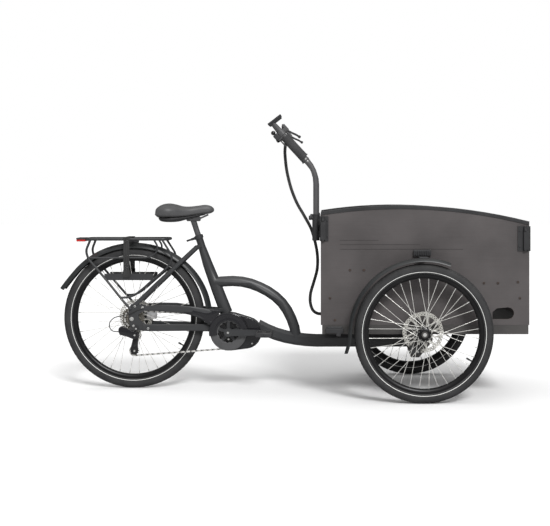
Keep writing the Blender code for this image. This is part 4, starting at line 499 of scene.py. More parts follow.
# The chain side stay wears a moulded cover that widens into a shield ahead of the tyre, glossy as the motor.
piano_black = surface("piano_black_plastic", (0.012, 0.012, 0.014), (0.014, 0.014, 0.016), 0.16, patch=5,
                      grain=300, swing=0.05, dust=0.04, relief=0.00001, coat=0.6)
cover_stations = [(0.088, 0.3745, 0.3895, 0.0742), (0.110, 0.3705, 0.3915, 0.0750),
                  (0.160, 0.3650, 0.3932, 0.0750), (0.200, 0.3600, 0.3930, 0.0745),
                  (0.240, 0.3535, 0.3905, 0.0732), (0.280, 0.3440, 0.3868, 0.0712),
                  (0.320, 0.3290, 0.3815, 0.0700), (0.342, 0.3110, 0.3782, 0.0698),
                  (0.360, 0.3030, 0.3760, 0.0698), (0.374, 0.3060, 0.3740, 0.0698),
                  (0.390, 0.3330, 0.3712, 0.0698), (0.408, 0.3580, 0.3688, 0.0690)]
cover_section = [(0.00, 0.00), (0.03, 0.50), (0.14, 0.82), (0.32, 1.00), (0.55, 1.00), (0.80, 0.84),
                 (0.95, 0.52), (1.00, 0.00)]
COVER_INNER_Y = 0.0640
low_line = smooth_line([Vector((x, outer, low)) for x, low, high, outer in cover_stations], 0.006)
high_line = smooth_line([Vector((x, outer, high)) for x, low, high, outer in cover_stations], 0.006)
cover_rings = []
for share in range(61):
    low_spot = low_line[round(share / 60 * (len(low_line) - 1))]
    high_spot = high_line[round(share / 60 * (len(high_line) - 1))]
    cover_rings.append([at(low_spot.x + (high_spot.x - low_spot.x) * rise, -COVER_INNER_Y
                           - (low_spot.y - COVER_INNER_Y) * bulge, low_spot.z + (high_spot.z - low_spot.z)
                           * rise) for rise, bulge in cover_section])


def skinned(name, rings, closed=True):
    """A skin over rings of points; closed ones go all the way round and are capped at both ends."""
    count = len(rings[0])
    places = [place for ring in rings for place in ring]
    faces = [(row * count + spot, row * count + (spot + 1) % count, (row + 1) * count + (spot + 1) % count,
              (row + 1) * count + spot) for row in range(len(rings) - 1)
             for spot in range(count - (not closed))]
    if closed:
        faces += [tuple(range(count)), tuple(len(places) - 1 - spot for spot in range(count))]
    mesh = bpy.data.meshes.new(name)
    mesh.from_pydata(places, [], faces)
    piece = bpy.data.objects.new(name, mesh)
    bpy.context.scene.collection.objects.link(piece)
    return tidy_mesh(piece)


fitted(smooth(skinned("raised_stay_cover", cover_rings), 50), piano_black, "rear_frame", "motor_gloss",
       "rear_triangle")

# ---- Mid motor ----
# A cast housing bolted under the frame's bracket, and a glossy black moulded cover on the chain side.
# The cover and its chain case over the upper half of the ring mirror the lights; the housing is matt.
from_cad("motor_cover", "motor_cover_shell", 0.0015, piano_black, "rear_frame", "motor_gloss")
matt_plastic = surface("matt_black_plastic", (0.025, 0.025, 0.027), (0.031, 0.031, 0.033), 0.55, patch=14,
                       grain=1800, dust=0.14, relief=0.00008)
from_cad("motor_housing", "motor_case", 0.0030, matt_plastic, "rear_frame", "black_plastic")
CRANK_AXIS = (0.447, 0.267)
case_rim = [(0.0535, -0.0634), (0.0866, -0.0634), (0.0866, -0.0602), (0.0905, -0.0602), (0.0905, -0.0668),
            (0.0897, -0.0682), (0.0880, -0.0690), (0.0800, -0.0690), (0.0760, -0.0678), (0.0640, -0.0678),
            (0.0600, -0.0690), (0.0560, -0.0690), (0.0542, -0.0682), (0.0535, -0.0666)]
CASE_STEPS = 72
case_mount = [(0.0872, -0.0606), (0.0872, -0.0438), (0.0905, -0.0438), (0.0905, -0.0606)]
for case_name, section, first, last in (("chain_case_arc", case_rim, -12, 192),
                                        ("chain_case_mount", case_mount, -10, 62)):
    rings = [[at(CRANK_AXIS[0] + radius * cos(angle), y, CRANK_AXIS[1] + radius * sin(angle))
              for radius, y in section] for angle in (
                 radians(first + (last - first) * step / CASE_STEPS) for step in range(CASE_STEPS + 1))]
    fitted(smooth(skinned(case_name, rings), 40), piano_black, "rear_frame", "motor_gloss", "motor_cover")
cover_bolts = [standing(at(x, -0.0441, z), (0, -1, 0))
               for x, z in ((0.392, 0.336), (0.584, 0.270), (0.556, 0.212), (0.477, 0.339))]
repeated("motor_cover_bolts", bolt_model(0.0038, 0.0022), cover_bolts, plated_steel, "rear_frame", "steel")

# ---- Crankset, chainring and guard ----
# Forged arms with a round boss at each end, a 38 tooth steel ring and a moulded disc guard outside it.
# The guard has a scalloped opening round the spider, which five small bolts hold to the ring.
from_cad("crankset", "crank_arms_and_spider", 0.0012, charcoal_coat, "crank", "frame_black")


def plate(name, outlines, middle, thickness, edge=0.0):
    """A flat plate in the side plane from closed (x, z) outlines: its edge first, and then its holes."""
    sheet = bpy.data.curves.new(name, "CURVE")
    sheet.dimensions = "2D"
    sheet.fill_mode = "BOTH"
    for outline in outlines:
        line = sheet.splines.new("POLY")
        line.points.add(len(outline) - 1)
        for spot, (x, z) in zip(line.points, outline):
            spot.co = (x, z, 0, 1)
        line.use_cyclic_u = True
    sheet.extrude = thickness / 2 - edge
    sheet.bevel_depth = edge
    sheet.bevel_resolution = 1
    blank = bpy.data.objects.new(name, sheet)
    bpy.context.scene.collection.objects.link(blank)
    choose(blank)
    bpy.ops.object.convert(target="MESH")
    piece = bpy.context.object
    piece.data.transform(Matrix.Translation((0, middle, 0)) @ Matrix.Rotation(pi / 2, 4, "X"))
    return smooth(tidy_mesh(piece), 32)


def off_centre(centre, radius, angle):
    """The point (x, z) at a radius and an angle from a centre."""
    return (centre[0] + radius * cos(angle), centre[1] + radius * sin(angle))


def ring_of(centre, radius, count, start=0.0):
    """Points (x, z) evenly round a centre."""
    return [off_centre(centre, radius, start + 2 * pi * step / count) for step in range(count)]


CHAIN_PITCH = 0.0127
CHAIN_Y = -0.052
RING_TEETH = 38


def pitch_radius(teeth):
    """Radius of the circle that the chain's pins run on."""
    return CHAIN_PITCH / 2 / sin(pi / teeth)


def toothed(centre, teeth):
    """The outline of a sprocket whose teeth stay between the chain's plates, under its pins."""
    tip = pitch_radius(teeth) - 0.0024
    return [off_centre(centre, tip - depth, 2 * pi * (tooth + share) / teeth) for tooth in range(teeth)
            for share, depth in ((-0.13, 0.0), (0.13, 0.0), (0.30, 0.0038), (0.50, 0.0050), (0.70, 0.0038))]


def world_of(x, z):
    """(x, z) measured forwards from the rear axle, as a place in the frame."""
    return (REAR_AXLE_X + x, z)


crank_middle = world_of(*CRANK_AXIS)
dark_steel = surface("oiled_dark_steel", (0.16, 0.15, 0.13), (0.24, 0.22, 0.19), 0.38, metallic=1.0, patch=80,
                     grain=2200, swing=0.25, dust=0.0)
# Black coated steel for the chainring, the cage plate and the bell; on four ring bolts it is painted shade.
black_steel_and_painted_shade = surface("black_coated_steel_and_painted_shade", (0.030, 0.030, 0.031), (0.045, 0.044, 0.043), 0.34, metallic=0.6,
                      patch=60, grain=2000, swing=0.2, dust=0.0)
ARMS = 5
HALF_ARM = 0.24
windows = []
for arm in range(ARMS):
    first = 2 * pi * arm / ARMS + pi / 2 + HALF_ARM
    last = first + 2 * pi / ARMS - 2 * HALF_ARM
    windows.append([off_centre(crank_middle, 0.064, first + (last - first) * step / 8) for step in range(9)]
                   + [off_centre(crank_middle, 0.046, last - (last - first) * step / 8) for step in range(9)])
chainring = plate("chainring_plate", [toothed(crank_middle, RING_TEETH), ring_of(crank_middle, 0.040, 48)]
                  + windows, CHAIN_Y, 0.0020, 0.0002)
fitted(chainring, black_steel_and_painted_shade, "crank", "dark_steel", "chainring")
scallops = [off_centre(crank_middle, 0.0485 + 0.0020 * cos(15 * angle), angle)
            for angle in (2 * pi * step / 120 for step in range(120))]
guard_plastic = surface("guard_plastic", (0.066, 0.066, 0.068), (0.078, 0.078, 0.080), 0.42, patch=20,
                        grain=1500, dust=0.1)
fitted(plate("chain_guard_disc", [ring_of(crank_middle, 0.0850, 96), scallops], -0.0608, 0.0019, 0.0005),
       guard_plastic, "crank", "black_plastic", "chain_guard")
for name, radius in (("guard_outer_rib", 0.0825), ("guard_inner_rib", 0.0560)):
    rib = turned(name, [(radius - 0.0012, 0.0004), (radius - 0.0006, -0.0008), (radius + 0.0006, -0.0008),
                        (radius + 0.0012, 0.0004)], Vector((crank_middle[0], -0.0617, crank_middle[1])), 96)
    fitted(rib, guard_plastic, "crank", "black_plastic")
# Four of the five ring bolts are black steel as painted shade; the fifth, plated like the crank bolts, shows
# the bolts' own finish.
ring_bolts = [standing((x, -0.0532, z), (0, -1, 0)) for x, z in ring_of(crank_middle, 0.0335, ARMS, -pi / 2)]
repeated("ring_bolts", bolt_model(0.0052, 0.0030), ring_bolts[1:], black_steel_and_painted_shade, "crank", "dark_steel")
arm_bolts = [standing(at(CRANK_AXIS[0], side * 0.0849, CRANK_AXIS[1]), (0, side, 0)) for side in (-1, 1)]
repeated("crank_bolts", bolt_model(0.0052, 0.0030), ring_bolts[:1] + arm_bolts, plated_steel, "crank", "steel")

# ---- Pedals ----
# Moulded platform pedals on steel pins, with ribbed rubber treads on both faces for wet shoes.
# The body is glass filled black plastic; the treads are soft rubber pressed into it.
def block(size, middle=(0, 0, 0), name="block"):
    """A plain block, to be rounded, joined or repeated."""
    deselect()
    bpy.ops.mesh.primitive_cube_add(size=1, location=middle, scale=size)
    bpy.ops.object.transform_apply(location=True, rotation=True, scale=True)
    bpy.context.object.name = name
    return bpy.context.object


CRANK_LENGTH = 0.170
for side, tag in SIDES:
    from_cad("pedal_" + tag, "pedal_body_" + tag, 0.0010, matt_plastic, "pedal_" + tag, "black_plastic")
    pin_x = CRANK_AXIS[0] - side * CRANK_LENGTH
    treads = [Matrix.Translation(at(pin_x + x, side * (0.105 + step * 0.0085), CRANK_AXIS[1] + face * 0.0101))
              for face in (-1, 1) for x in (-0.033, 0.0, 0.033) for step in range(9)]
    stud = round_edges(block((0.0055, 0.0040, 0.0016)), 0.0005)
    repeated("pedal_tread_" + tag, stud, treads, soft_rubber, "pedal_" + tag, "rubber")

# ---- Chain ----
# A half inch roller chain: pairs of waisted plates, inner and outer in turn, on hard pins.
# It runs over the ring, the fifth sprocket and the two pulleys of the derailleur, thinly oiled.
def belt_line(wheels):
    """Points of a closed loop round wheels (x, z, radius, turn), turn +1 for clockwise."""
    headings = []
    for item, (x1, z1, r1, turn1) in enumerate(wheels):
        x2, z2, r2, turn2 = wheels[(item + 1) % len(wheels)]
        bearing = atan2(z2 - z1, x2 - x1)
        headings.append(bearing + asin((turn2 * r2 - turn1 * r1) / hypot(x2 - x1, z2 - z1)))
    points = []
    for item, (x, z, radius, turn) in enumerate(wheels):
        swing = ((headings[item - 1] - headings[item]) * turn) % (2 * pi)
        steps = max(2, ceil(swing / radians(4)))
        for step in range(steps + 1):
            heading = headings[item - 1] - turn * swing * step / steps
            points.append((x - turn * radius * sin(heading), z + turn * radius * cos(heading)))
    return points


GUIDE_PULLEY = (0.016, 0.252)
TENSION_PULLEY = (0.010, 0.180)
PULLEY_TEETH = 11
DRIVEN_TEETH = 18
loop = belt_line([(*crank_middle, pitch_radius(RING_TEETH), 1),
                  (*world_of(*TENSION_PULLEY), pitch_radius(PULLEY_TEETH), 1),
                  (*world_of(*GUIDE_PULLEY), pitch_radius(PULLEY_TEETH), -1),
                  (*world_of(0, REAR_AXLE_Z), pitch_radius(DRIVEN_TEETH), 1)])
loop.append(loop[0])
total = sum(hypot(b[0] - a[0], b[1] - a[1]) for a, b in zip(loop, loop[1:]))
links = 2 * round(total / CHAIN_PITCH / 2)
pins = []
walked = 0.0
for (x1, z1), (x2, z2) in zip(loop, loop[1:]):
    length = hypot(x2 - x1, z2 - z1)
    while len(pins) < links and length > 0 and walked + length >= total * len(pins) / links:
        share = (total * len(pins) / links - walked) / length
        pins.append((x1 + (x2 - x1) * share, z1 + (z2 - z1) * share))
    walked += length


def link_model(half_gap):
    """One link, its pins at the origin and a pitch along +X: two waisted plates and a pin."""
    outline = [(-0.0041, 0), (-0.0029, -0.0029), (0, -0.0041), (0.00635, -0.0030), (0.0127, -0.0041),
               (0.0156, -0.0029), (0.0168, 0), (0.0156, 0.0029), (0.0127, 0.0041), (0.00635, 0.0030),
               (0, 0.0041), (-0.0029, 0.0029)]
    parts = [plate("link_plate", [outline], side * half_gap, 0.0008) for side in (-1, 1)]
    deselect()
    bpy.ops.mesh.primitive_cylinder_add(vertices=8, radius=0.0017, depth=0.0070, rotation=(pi / 2, 0, 0))
    bpy.ops.object.transform_apply(location=True, rotation=True, scale=True)
    return joined("link", [bpy.context.object] + parts)


# The outer plates are painted near white as painted highlights, the glints along the chain; the inner plates
# keep the chain's dark oiled steel.
outer_links_painted_highlight = surface("chain_outer_steel_painted_highlight", (0.78, 0.77, 0.74), (0.52, 0.51, 0.49), 0.26, metallic=0.35,
                       patch=120, grain=2600, swing=0.3, dust=0.0)
oily_links = surface("chain_inner_steel", (0.075, 0.070, 0.064), (0.040, 0.037, 0.034), 0.36, metallic=0.8,
                     patch=120, grain=2600, swing=0.3, dust=0.0)
for name, first, half_gap, finish in (("chain_inner_links", 0, 0.0021, oily_links),
                                      ("chain_outer_links", 1, 0.0029, outer_links_painted_highlight)):
    spots = []
    for number in range(first, links, 2):
        x1, z1 = pins[number]
        x2, z2 = pins[(number + 1) % links]
        spots.append(Matrix.Translation((x1, CHAIN_Y, z1)) @ Matrix.Rotation(-atan2(z2 - z1, x2 - x1), 4, "Y"))
    repeated(name, link_model(half_gap), spots, finish, "rear_frame", "dark_steel", "chain")

# ---- Cassette ----
# Seven stamped steel sprockets, 28 to 14 teeth, with lightening windows in the large ones and a lock ring.
# They are nickel plated, brown between the teeth from chain oil, and turn with the chain.
hub_middle = world_of(0, REAR_AXLE_Z)
sprocket_plate = surface("nickel_sprocket", (0.36, 0.34, 0.30), (0.15, 0.138, 0.112), 0.30, metallic=0.6,
                         patch=90, grain=2400, swing=0.25, dust=0.0)
for number, teeth in enumerate((28, 24, 22, 20, 18, 16, 14)):
    holes = [ring_of(hub_middle, 0.0150, 30)]
    if teeth > 20:
        middle_r = (pitch_radius(teeth) + 0.013) / 2
        holes += [ring_of(spot, 0.0034, 10) for spot in ring_of(hub_middle, middle_r, 10, 0.3 * number)]
    disc = plate("sprocket_%d_teeth" % teeth, [toothed(hub_middle, teeth)] + holes, -0.032 - 0.005 * number,
                 0.0018, 0.0002)
    fitted(disc, sprocket_plate, "cassette", "dark_steel", "cassette")
core = turned("cassette_core", [(0.0129, -0.0311), (0.0160, -0.0311), (0.0160, -0.0630), (0.0185, -0.0632),
                                (0.0185, -0.0640), (0.0165, -0.0648), (0.0129, -0.0648)], at(0, 0, REAR_AXLE_Z),
              40)
fitted(core, dark_steel, "cassette", "dark_steel")

# ---- Derailleur and pulleys ----
# A long cage derailleur: moulded knuckles, two pressed steel cage plates and two toothed nylon pulleys.
# It hangs from the right dropout, and its cage is drilled for lightness and held by small plated bolts.
from_cad("derailleur", "derailleur_knuckles_and_cage", 0.0008, matt_plastic, "rear_frame", "black_plastic")
cage_bolts = []
for name, spot in (("guide_pulley", GUIDE_PULLEY), ("tension_pulley", TENSION_PULLEY)):
    middle = world_of(*spot)
    slots = [ring_of(spot, 0.0026, 10) for spot in ring_of(middle, 0.0092, 5)]
    fitted(plate(name + "_wheel", [toothed(middle, PULLEY_TEETH), ring_of(middle, 0.0032, 16)] + slots, CHAIN_Y,
                 0.0020, 0.0002), matt_plastic, name, "black_plastic", name)
    cage_bolts.append(standing((middle[0], -0.0616, middle[1]), (0, -1, 0)))
barrel = turned("derailleur_barrel", [(0, -0.0090), (0.0150, -0.0090), (0.0178, -0.0072), (0.0185, -0.0040),
                                      (0.0185, 0.0090), (0.0165, 0.0105), (0, 0.0105)],
                at(-0.0420, -0.0800, 0.2790), 32, closed=False)
link_arm = plate("derailleur_link_arm",
                 [[world_of(x, z) for x, z in (
                       (-0.0560, 0.2700), (-0.0520, 0.2600), (-0.0400, 0.2570), (-0.0150, 0.2500),
                       (0.0040, 0.2420), (0.0180, 0.2400), (0.0280, 0.2480), (0.0290, 0.2610), (0.0200, 0.2700),
                       (-0.0100, 0.2790), (-0.0280, 0.2900), (-0.0460, 0.2880))]], -0.0850, 0.0120, 0.0022)
cage_plate = plate("derailleur_cage_plate",
                   [[world_of(x, z) for x, z in (
                         (0.0020, 0.2560), (0.0040, 0.2400), (-0.0020, 0.2150), (-0.0070, 0.1930),
                         (-0.0075, 0.1760), (0.0000, 0.1650), (0.0140, 0.1625), (0.0255, 0.1700),
                         (0.0285, 0.1830), (0.0265, 0.2000), (0.0260, 0.2200), (0.0300, 0.2450),
                         (0.0280, 0.2600), (0.0140, 0.2660))], ring_of(world_of(0.0105, 0.2060), 0.0055, 20),
                    ring_of(world_of(0.0120, 0.2240), 0.0045, 20)], -0.0608, 0.0018, 0.0004)
for part, finish in ((barrel, piano_black), (link_arm, piano_black), (cage_plate, black_steel_and_painted_shade)):
    fitted(part, finish, "rear_frame", "black_plastic", "derailleur")
cage_bolts += [standing(at(*spot), (0, -1, 0)) for spot in (
                   (0.0220, -0.0877, 0.2860), (-0.0420, -0.0889, 0.2790), (0.0160, -0.0909, 0.2560))]
repeated("derailleur_bolts", bolt_model(0.0042, 0.0016), cage_bolts, plated_steel, "rear_frame", "steel",
         "derailleur")

# ---- Wheels: tyres ----
# Wide city tyres, 26 inch behind and 24 inch in front, with a shallow block tread and ribbed shoulders.
# Grey black rubber, dusty on top, with a thin white reflective line moulded into each side wall.
FRONT_AXLE_X = 1.325
FRONT_AXLE_Z = 0.302564
HALF_TRACK = 0.400
TYRE_HALF_WIDTH = 0.0236
LINE_HALF_WIDTH = 0.0011
WHEELS = (("rear", at(0, 0, REAR_AXLE_Z), 0.2855, 0.2930),
          ("front_right", at(FRONT_AXLE_X, -HALF_TRACK, FRONT_AXLE_Z), 0.2595, 0.2680),
          ("front_left", at(FRONT_AXLE_X, HALF_TRACK, FRONT_AXLE_Z), 0.2595, 0.2680))
tyre_rubber = surface("grey_black_tyre", (0.022, 0.022, 0.023), (0.031, 0.031, 0.032), 0.80, patch=16,
                      grain=700, swing=0.1, dust=0.25, relief=0.00015)
reflective = surface("reflective_white_line", (0.74, 0.74, 0.72), (0.62, 0.62, 0.60), 0.45, patch=40, grain=900,
                     dust=0.0)
for tag, centre, seat_r, line_r in WHEELS:
    body = tag + "_wheel"
    outer = centre.z - 0.0016
    half = (outer - seat_r - CLEAR) / 1.643
    middle = outer - half
    profile = [(middle + half * sin(angle), TYRE_HALF_WIDTH * cos(angle))
               for angle in (radians(-40 + 10 * step) for step in range(27))]
    profile += [(middle + (half - 0.0035) * sin(angle) * 0.86, 0.0200 * cos(angle))
                for angle in (radians(220 + 12.5 * step) for step in range(8))]
    fitted(turned(tag + "_tyre_casing", profile, centre, 120), tyre_rubber, body, "tyre", tag + "_tyre")
    rise = (line_r - middle) / half
    wall = TYRE_HALF_WIDTH * sqrt(1 - rise * rise)
    slope = TYRE_HALF_WIDTH * rise / (half * sqrt(1 - rise * rise))
    lines = [turned("tyre_line", [(line_r + edge * LINE_HALF_WIDTH, side
                                   * (wall - edge * slope * LINE_HALF_WIDTH + proud))
                                  for edge, proud in ((-1, -0.0006), (-1, 0.0004), (1, 0.0004), (1, -0.0006))],
                    centre, 120) for side in (-1, 1)]
    fitted(joined(tag + "_tyre_reflective_line", lines), reflective, body, "tyre")
    tread_block = round_edges(block((0.0125, 0.0052, 0.0022)), 0.0006, segments=1)
    blocks = []
    rows = 96
    for row in range(rows):
        for lane, offset in ((0.0, 0.0), (-0.0072, 0.5), (0.0072, 0.5), (-0.0140, 0.0), (0.0140, 0.0)):
            turn = 2 * pi * (row + offset) / rows
            lean = asin(lane / TYRE_HALF_WIDTH)
            reach = middle + half * cos(lean) + 0.00045
            blocks.append(Matrix.Translation(centre) @ Matrix.Rotation(turn, 4, "Y")
                          @ Matrix.Translation((0, lane, reach)) @ Matrix.Rotation(-lean * 0.8, 4, "X"))
    repeated(tag + "_tyre_tread", tread_block, blocks, tyre_rubber, body, "tyre")

# ---- Wheels: rims, spokes, hubs and rotors ----
# Box section alloy rims in satin black, 36 crossed steel spokes with nickel nipples, and a schrader valve.
# The hubs are black shells with raised flanges; the vented steel rotors are held by six bolts each.
rim_black = surface("satin_black_rim", (0.018, 0.018, 0.019), (0.024, 0.024, 0.025), 0.34, metallic=0.6,
                    patch=10, grain=1600, dust=0.08)
bright_steel = surface("bright_steel", (0.84, 0.83, 0.79), (0.72, 0.71, 0.68), 0.26, metallic=0.35, patch=70,
                       grain=2400, swing=0.15, dust=0.0)
brushed_rotor = surface("brushed_rotor_steel", (0.66, 0.65, 0.60), (0.50, 0.49, 0.46), 0.30, metallic=0.45,
                        patch=60, grain=3000, swing=0.2, dust=0.0)


def rod(start, end):
    """Where a rod model of length one goes to reach from start to end."""
    along = Vector(end) - Vector(start)
    return (Matrix.Translation(Vector(start)) @ along.to_track_quat("Z", "Y").to_matrix().to_4x4()
            @ Matrix.Diagonal((1, 1, along.length, 1)))


def rod_model(radius, sides):
    """A thin rod of length one standing on the origin."""
    deselect()
    bpy.ops.mesh.primitive_cylinder_add(vertices=sides, radius=radius, depth=1, location=(0, 0, 0.5))
    made = bpy.context.object
    bpy.ops.object.transform_apply(location=True, rotation=True, scale=True)
    return smooth(made, 70)


def rotor_outlines(middle, radius):
    """A rotor's outlines: waved edge, centre hole, six slanting windows and two rings of vents."""
    edge = [off_centre(middle, radius - 0.0009 + 0.0008 * cos(12 * angle), angle)
            for angle in (2 * pi * step / 144 for step in range(144))]
    outlines = [edge, ring_of(middle, 0.0172, 36)]
    for arm in range(6):
        for low_start, low_end, high_start, high_end in ((7, 27, 17, 41), (33, 53, 47, 71)):
            low = [off_centre(middle, 0.0290, radians(60 * arm + low_start + (low_end - low_start) * step / 4))
                   for step in range(5)]
            high = [off_centre(middle, radius - 0.0170,
                               radians(60 * arm + high_end - (high_end - high_start) * step / 6))
                    for step in range(7)]
            outlines.append(low + high)
    vents = ring_of(middle, radius - 0.0052, 40) + ring_of(middle, radius - 0.0118, 40, pi / 40)
    return outlines + [ring_of(spot, 0.0027, 8) for spot in vents]


RIM_DEPTH = 0.021
SPOKES = 36
for tag, centre, seat_r, line_r in WHEELS:
    body = tag + "_wheel"
    middle = (centre.x, centre.z)
    inner = seat_r - RIM_DEPTH
    rim = turned(tag + "_rim_box", [(seat_r - 0.0002, 0.0120), (seat_r - 0.0002, 0.0138),
                                    (seat_r - 0.0080, 0.0138), (seat_r - 0.0125, 0.0130),
                                    (inner + 0.0045, 0.0095), (inner + 0.0010, 0.0050), (inner, 0.0),
                                    (inner + 0.0010, -0.0050), (inner + 0.0045, -0.0095),
                                    (seat_r - 0.0125, -0.0130), (seat_r - 0.0080, -0.0138),
                                    (seat_r - 0.0002, -0.0138), (seat_r - 0.0002, -0.0120),
                                    (seat_r - 0.0060, 0.0)], centre, 120)
    fitted(rim, rim_black, body, "rim_black", tag + "_rim")
    flanges = (0.0335, -0.0235) if tag == "rear" else (0.030, -0.030)
    wires = []
    nipples = []
    for number in range(SPOKES):
        flange = flanges[number % 2]
        lean = 1 if (number // 2) % 2 else -1
        angle = 2 * pi * (number + 0.5) / SPOKES
        foot_angle = angle + lean * radians(62)
        foot = centre + Vector((0.0255 * cos(foot_angle), flange + lean * 0.0021, 0.0255 * sin(foot_angle)))
        tip = centre + Vector(((inner + 0.0015) * cos(angle), 0.10 * flange, (inner + 0.0015) * sin(angle)))
        wires.append(rod(foot, tip))
        nipples.append(rod(tip + (foot - tip).normalized() * 0.0135, tip))
    repeated(tag + "_spokes", rod_model(0.00115, 6), wires, bright_steel, body, "steel", tag + "_hub")
    repeated(tag + "_spoke_nipples", rod_model(0.0022, 8), nipples, plated_steel, body, "steel")
    ray = Vector((cos(radians(-30)), 0, sin(radians(-30))))
    valve = pipe(tag + "_valve", [centre + ray * (inner + out) for out in (0.004, -0.012, -0.013, -0.026)],
                 0.0035, 3, swell=[1, 1, 1.25, 1.15])
    fitted(valve, soft_rubber, body, "rubber")
    if tag == "rear":
        shell_profile = [(0.0056, -0.0636), (0.0120, -0.0636), (0.0120, -0.0290), (0.0250, -0.0272),
                         (0.0300, -0.0262), (0.0305, -0.0240), (0.0300, -0.0212), (0.0250, -0.0202),
                         (0.0170, -0.0165), (0.0165, 0.0050), (0.0170, 0.0260), (0.0250, 0.0302),
                         (0.0300, 0.0312), (0.0305, 0.0335), (0.0300, 0.0362), (0.0250, 0.0372),
                         (0.0200, 0.0420), (0.0200, 0.0575), (0.0056, 0.0575)]
        rotor_y = centre.y + 0.052
        rotor_r = 0.080
    else:
        outward = -1 if centre.y < 0 else 1
        shell_profile = [(0.0105, -0.0515), (0.0195, -0.0515), (0.0190, -0.0345), (0.0250, -0.0330),
                         (0.0300, -0.0322), (0.0305, -0.0300), (0.0300, -0.0278), (0.0250, -0.0270),
                         (0.0172, -0.0215), (0.0165, 0.0), (0.0172, 0.0215), (0.0250, 0.0270), (0.0300, 0.0278),
                         (0.0305, 0.0300), (0.0300, 0.0322), (0.0250, 0.0330), (0.0185, 0.0380),
                         (0.0175, 0.0398), (0.0105, 0.0398)]
        shell_profile = [(radius, along * outward) for radius, along in shell_profile]
        rotor_y = centre.y - 0.045 * outward
        rotor_r = 0.090
    fitted(turned(tag + "_hub_shell", shell_profile, centre, 40), rim_black, body, "steel")
    fitted(plate(tag + "_brake_rotor", rotor_outlines(middle, rotor_r), rotor_y, 0.0018, 0.0002), brushed_rotor,
           body, "steel")
    rotor_bolts = [standing((x, rotor_y + way * 0.0008, z), (0, way, 0)) for x, z in ring_of(middle, 0.0225, 6)
                   for way in (-1, 1)]
    repeated(tag + "_rotor_bolts", bolt_model(0.0034, 0.0018), rotor_bolts, plated_steel, body, "steel")

# ---- Brake calipers ----
# Two piston hydraulic calipers astride the rotors, each on an adapter with two bolts.
# The rear one and its adapter are bare cast alloy and catch the light; the front ones are black.
cast_alloy = surface("cast_alloy", (0.58, 0.58, 0.59), (0.46, 0.46, 0.47), 0.36, metallic=0.5, patch=60,
                     grain=1200, swing=0.2, dust=0.05, relief=0.0001)
for node, material, finish in (("rear_caliper", cast_alloy, "aluminium"),
                               ("front_right_caliper", matt_plastic, "black_plastic"),
                               ("front_left_caliper", matt_plastic, "black_plastic")):
    body = "rear_frame" if node == "rear_caliper" else "front_assembly"
    from_cad(node, node + "_body", 0.0012, material, body, finish)
    low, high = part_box(node)
    outer_y, way = (low.y, -1) if node == "front_right_caliper" else (high.y, 1)
    spots = [standing(((low.x + high.x) / 2 + dx, outer_y - way * 0.0002, (low.z + high.z) / 2 + dz),
                      (0, way, 0)) for dx, dz in ((-0.012, 0.008), (0.012, -0.008))]
    repeated(node + "_bolts", bolt_model(0.0042, 0.0030), spots, plated_steel, body, "steel")

# ---- Mudguards ----
# Pressed and arched guards with rolled edges and a flap that turns away from the tyre at the low end.
# Black plastic over a metal core; the rear one hangs from the rack, the front ones from strips on the box.
guard_black = surface("mudguard_black", (0.018, 0.020, 0.021), (0.023, 0.025, 0.026), 0.40, patch=8, grain=1200,
                      dust=0.12)
BOX_SIDE_Y = 0.310
GUARD_HALF_WIDTH = 0.0300
GUARD_WALL = 0.0018


def arched_guard(name, centre, across, upright, start, end, flap, deep):
    """A guard pulled along its arc as one arched sheet with rolled edges, then given its thickness."""
    steps = 72
    section = [(GUARD_HALF_WIDTH * sin(lean), -deep * (1 - cos(lean)) ** 0.9)
               for lean in (radians(-90 + 15 * spot) for spot in range(13))]
    rings = []
    for step in range(steps + 1):
        angle = radians(start + (end - start) * step / steps)
        late = max(0.0, (step - steps * 0.88) / (steps * 0.12))
        flare = flap * late * late
        rings.append([(centre.x + (across + flare + rise) * cos(angle), centre.y + wide, centre.z
                       + (upright + flare + rise) * sin(angle)) for wide, rise in section])
    piece = skinned(name, rings, closed=False)
    top = max(piece.data.polygons, key=lambda side: side.center.z)
    if top.normal.z < 0:
        piece.data.flip_normals()
    choose(piece)
    wall = piece.modifiers.new("wall", "SOLIDIFY")
    wall.thickness = GUARD_WALL
    wall.offset = -1
    bpy.ops.object.modifier_apply(modifier=wall.name)
    return round_edges(piece, 0.0004, segments=1, angle=50)


fitted(arched_guard("rear_mudguard_sheet", at(0, 0, REAR_AXLE_Z), 0.3655, 0.3505, 8, 157.5, 0.012, 0.0240),
       guard_black, "rear_frame", "black_plastic", "rear_mudguard")
fitted(round_edges(block((0.040, 0.024, 0.0135), at(0, 0, 0.6868), "rear_mudguard_hanger"), 0.0025),
       matt_plastic, "rear_frame", "black_plastic")
for side, tag in ((-1, "front_right"), (1, "front_left")):
    hub = at(FRONT_AXLE_X, side * HALF_TRACK, FRONT_AXLE_Z)
    fitted(arched_guard(tag + "_mudguard_sheet", hub, 0.3278, 0.3278, 69, 194, 0.028, 0.0150), guard_black,
           "front_assembly", "black_plastic", tag + "_mudguard")
    foot_z = 0.6485
    parts = [block((0.040, 0.099, 0.0058), (hub.x, side * 0.3600, hub.z + 0.328)),
             block((0.078, 0.0160, 0.026), (hub.x, side * 0.3184, foot_z))]
    parts += [block((0.0050, 0.0060, 0.018), (hub.x - 0.030 + 0.010 * step, side * 0.3276, foot_z))
              for step in range(7)]
    fitted(round_edges(joined(tag + "_mudguard_bracket", parts), 0.0022), matt_plastic, "front_assembly",
           "black_plastic")
    brace_x = hub.x - 0.328 + 0.0154
    brace = pipe(tag + "_mudguard_brace", [(brace_x, side * y, 0.349) for y in (0.3730, BOX_SIDE_Y + CLEAR)],
                 0.004, 3)
    fitted(brace, matt_plastic, "front_assembly", "black_plastic")

